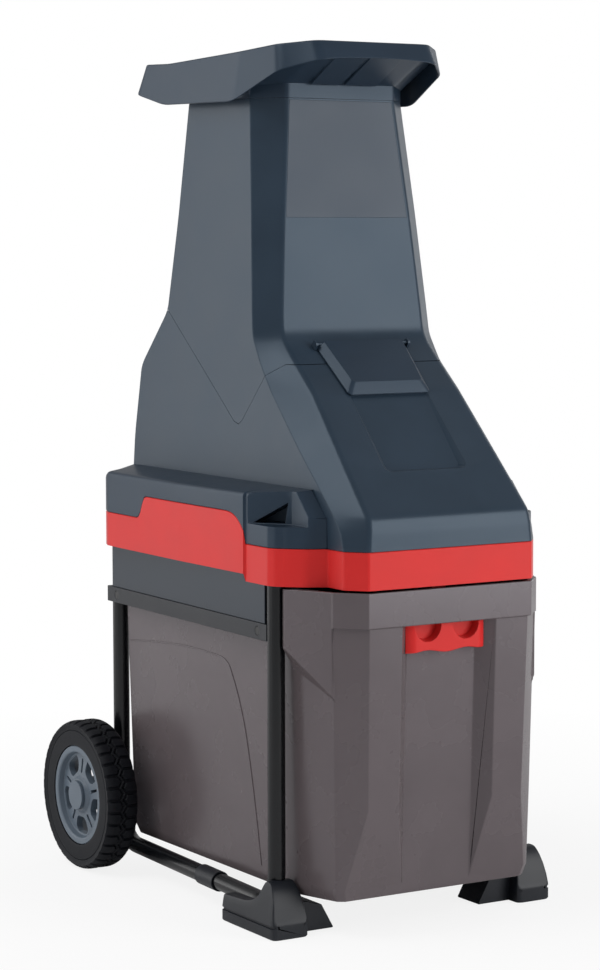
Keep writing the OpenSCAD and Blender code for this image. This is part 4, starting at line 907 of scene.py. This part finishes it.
def foot(sign):
    """Shoe with a groove over its sole, leaning in towards the top."""
    columns = []
    for y, h, tuck in FOOT_STATIONS:
        lean = FOOT_LEAN * max(0, h - LEAN_FROM) / LEAN_OVER
        half_z = SHOE_LOW + (h - SHOE_LOW - 1) * 0.5
        o, i = FOOT_OUTER - tuck, FOOT_INNER + tuck
        top_o, top_i = o - SHOE_ROUND - lean, i + SHOE_ROUND + lean
        ring = [(o - SOLE_ROUND, 0), (o, SOLE_ROUND), (o, SOLE_TOP), (o - GROOVE_DEPTH, GROOVE_LOW),
                (o - GROOVE_DEPTH, GROOVE_HIGH), (o, SHOE_LOW), (o - lean * 0.5, half_z), (o - lean, h - 2.6),
                (o - lean - 0.8, h - 0.8), (top_o, h), ((top_o + top_i) / 2, h), (top_i, h),
                (i + lean + 0.8, h - 0.8), (i + lean, h - 2.6), (i + lean * 0.5, half_z), (i, SOLE_TOP),
                (i, SOLE_ROUND), (i + SOLE_ROUND, 0)]
        columns.append([(sign * x, y, max(z, 0)) for x, z in ring])
    return mesh_of(*grid(columns, loop=False, ring=True))


def foot_wing(sign):
    """Gusset from the shoe towards the middle."""
    bar = prism(WING, WING_FRONT, WING_REAR, lambda a, b, h: (sign * a, h, b))
    return soft_mesh(taken(bar), WING_ROUND)


for side, sign in SIDES:
    show(f"foot_{side}_shoe", foot(sign), "black_plastic", [f"foot_{side}"], sharp=34)
    show(f"foot_{side}_wing", foot_wing(sign), "black_plastic", body=body_of(f"foot_{side}"))


# Hatch, with heights above the shelf

HATCH_LOW = outline([(-55, -30.5), (55, -30.5), (61, 54), (-61, 54)], [5, 5, 3, 3])
HATCH_TOP = outline([(-47, -17.5), (47, -17.5), (53.5, 52), (-53.5, 52)], [5, 5, 3, 3])
HATCH_UNDER, HATCH_RIM, HATCH_SHOULDER, HATCH_HIGH = 0.8, 2.2, 8.8, 9.5
SHOULDER_SHARE = 0.9
HOLLOW_HW, HOLLOW_FRONT, HOLLOW_REAR, HOLLOW_LOW, HOLLOW_HIGH = 47, -16.8, 24, -5, 6


def hatch_lid():
    """Lid over the controls: a flat top with wide bevels at the front and sides, hollow underneath."""
    columns = []
    for (a, b), (c, d) in zip(HATCH_LOW, HATCH_TOP):
        near_x, near_y = a + (c - a) * SHOULDER_SHARE, b + (d - b) * SHOULDER_SHARE
        columns.append([on_shelf(a, b, HATCH_UNDER), on_shelf(a, b, HATCH_RIM),
                        on_shelf(near_x, near_y, HATCH_SHOULDER), on_shelf(c, d, HATCH_HIGH)])
    verts, faces = grid(columns, loop=True)
    n = len(columns)
    faces += [tuple(i * 4 for i in range(n)), tuple(i * 4 + 3 for i in range(n))]
    hollow = slab(-HOLLOW_HW, HOLLOW_HW, HOLLOW_FRONT, HOLLOW_REAR, HOLLOW_LOW, HOLLOW_HIGH, on_shelf)
    return cut(mesh_of(verts, faces), hollow)


show("hatch_lid", hatch_lid(), "slate_dark", ["hatch"], sharp=24)


# Nodes that keep their own shape, with rounded edges

for node, soft in (("rail_left", 0.8), ("rail_right", 0.8), ("box_guide_left", 0.4), ("box_guide_right", 0.4),
                   ("control_panel", 0.6), ("start_button", 1.0), ("stop_button", 1.0),
                   ("direction_selector", 1.0), ("power_inlet", 0.8), ("reset_button", 0.8),
                   ("adjusting_knob", 1.0), ("sleeve_left", 0.6), ("sleeve_right", 0.6)):
    refine(node, soft)


# Floor, light and camera, in metres

FLOOR_SIZE, FLOOR_DROP, FLOOR_GREY = 40, 0.0004, 0.92
FADE_START, FADE_END, FADE_LEAST = 0.35, 1.3, 0.85
STUDIO_LEVEL, STUDIO_BLUE = 0.40, 1.02
MIDDLE = (0, 0, 0.5)
CAMERA_AT = (-1.70795, -2.78068, 0.77475)
CAMERA_YAW, CAMERA_PITCH, CAMERA_ROLL = 0.5468704, 0.0894378, -0.0021224
SENSOR_MM, FOCAL_PIXELS, PHOTO_PIXELS = 36, 2729.843, 970


def blend(tree, out, share, first, second):
    """Two shaders mixed by a share, led to the output."""
    mix = add(tree, "MixShader")
    for k, source in enumerate((share, first, second)):
        tree.links.new(source.outputs[0], mix.inputs[k])
    tree.links.new(mix.outputs[0], out.inputs[0])


def floor():
    """Pale floor that takes the shadow. For the camera it fades to white away from the middle."""
    bm = bmesh.new()
    bmesh.ops.create_grid(bm, x_segments=8, y_segments=8, size=FLOOR_SIZE)
    me = bpy.data.meshes.new("floor")
    bm.to_mesh(me)
    bm.free()
    ob = put("floor", me)
    ob.location = (0, 0, -FLOOR_DROP)
    mat = bpy.data.materials.new("floor")
    mat.use_nodes = True
    tree = mat.node_tree
    tree.nodes.clear()
    link = tree.links.new
    rays, spot = add(tree, "LightPath"), add(tree, "TexCoord")
    away = add(tree, "VectorMath")
    away.operation = "LENGTH"
    fade = add(tree, "MapRange", From_Min=FADE_START, From_Max=FADE_END, To_Min=FADE_LEAST)
    share = add(tree, "Math")
    share.operation = "MULTIPLY"
    link(spot.outputs["Object"], away.inputs[0])
    link(away.outputs["Value"], fade.inputs["Value"])
    link(rays.outputs["Is Camera Ray"], share.inputs[0])
    link(fade.outputs["Result"], share.inputs[1])
    pale = add(tree, "BsdfDiffuse", Color=(FLOOR_GREY, FLOOR_GREY, FLOOR_GREY, 1))
    blend(tree, add(tree, "OutputMaterial"), share, pale, add(tree, "Emission"))
    me.materials.append(mat)


def backdrop():
    """White for the camera and through clear things, a dim studio for light and reflections."""
    world = bpy.data.worlds.new("studio")
    bpy.context.scene.world = world
    world.use_nodes = True
    tree = world.node_tree
    tree.nodes.clear()
    dim = add(tree, "Background", Color=(STUDIO_LEVEL, STUDIO_LEVEL, STUDIO_LEVEL * STUDIO_BLUE, 1))
    white = add(tree, "Background", Color=(1, 1, 1, 1))
    rays = add(tree, "LightPath")
    seen = add(tree, "Math")
    seen.operation = "MAXIMUM"
    tree.links.new(rays.outputs["Is Camera Ray"], seen.inputs[0])
    tree.links.new(rays.outputs["Is Transmission Ray"], seen.inputs[1])
    blend(tree, add(tree, "OutputWorld"), seen, dim, white)


def lamp(name, place, aim, size, power):
    """Soft box that shines towards aim."""
    data = bpy.data.lights.new(name, "AREA")
    data.shape = "RECTANGLE"
    data.size, data.size_y = size
    data.energy = power
    ob = put(name, data)
    ob.location = place
    ob.rotation_euler = (Vector(aim) - Vector(place)).to_track_quat("-Z", "Y").to_euler()


def camera():
    """The photo's camera, as fitted to its straight edges and the wheel."""
    sin_yaw, cos_yaw = math.sin(CAMERA_YAW), math.cos(CAMERA_YAW)
    sin_pitch, cos_pitch = math.sin(CAMERA_PITCH), math.cos(CAMERA_PITCH)
    fwd = Vector((sin_yaw * cos_pitch, cos_yaw * cos_pitch, -sin_pitch))
    level = Vector((cos_yaw, -sin_yaw, 0))
    above = level.cross(fwd)
    c, s = math.cos(CAMERA_ROLL), math.sin(CAMERA_ROLL)
    right, up = level * c + above * s, above * c - level * s
    data = bpy.data.cameras.new("photo")
    data.sensor_fit = "AUTO"
    data.sensor_width = SENSOR_MM
    data.lens = SENSOR_MM * FOCAL_PIXELS / PHOTO_PIXELS
    data.clip_end = 60
    ob = put("photo", data)
    turn = Matrix((right, up, -fwd)).transposed().to_4x4()
    ob.matrix_world = Matrix.Translation(CAMERA_AT) @ turn
    bpy.context.scene.camera = ob


floor()
backdrop()
lamp("rear_left_box", (-2.3, 2.4, 1.2), MIDDLE, (2.0, 2.4), 28)
lamp("left_strip", (-3.0, 0.1, 1.1), MIDDLE, (0.30, 2.2), 6)
lamp("upper_left_box", (-1.9, 0.1, 2.7), MIDDLE, (1.2, 1.4), 24)
lamp("front_right_box", (1.9, -2.7, 1.2), MIDDLE, (1.8, 2.4), 60)
lamp("rim_box", (2.4, 1.0, 1.2), (0, 0, 0.6), (0.4, 2.2), 5)
camera()

view = bpy.context.scene.view_settings
view.view_transform = "Standard"
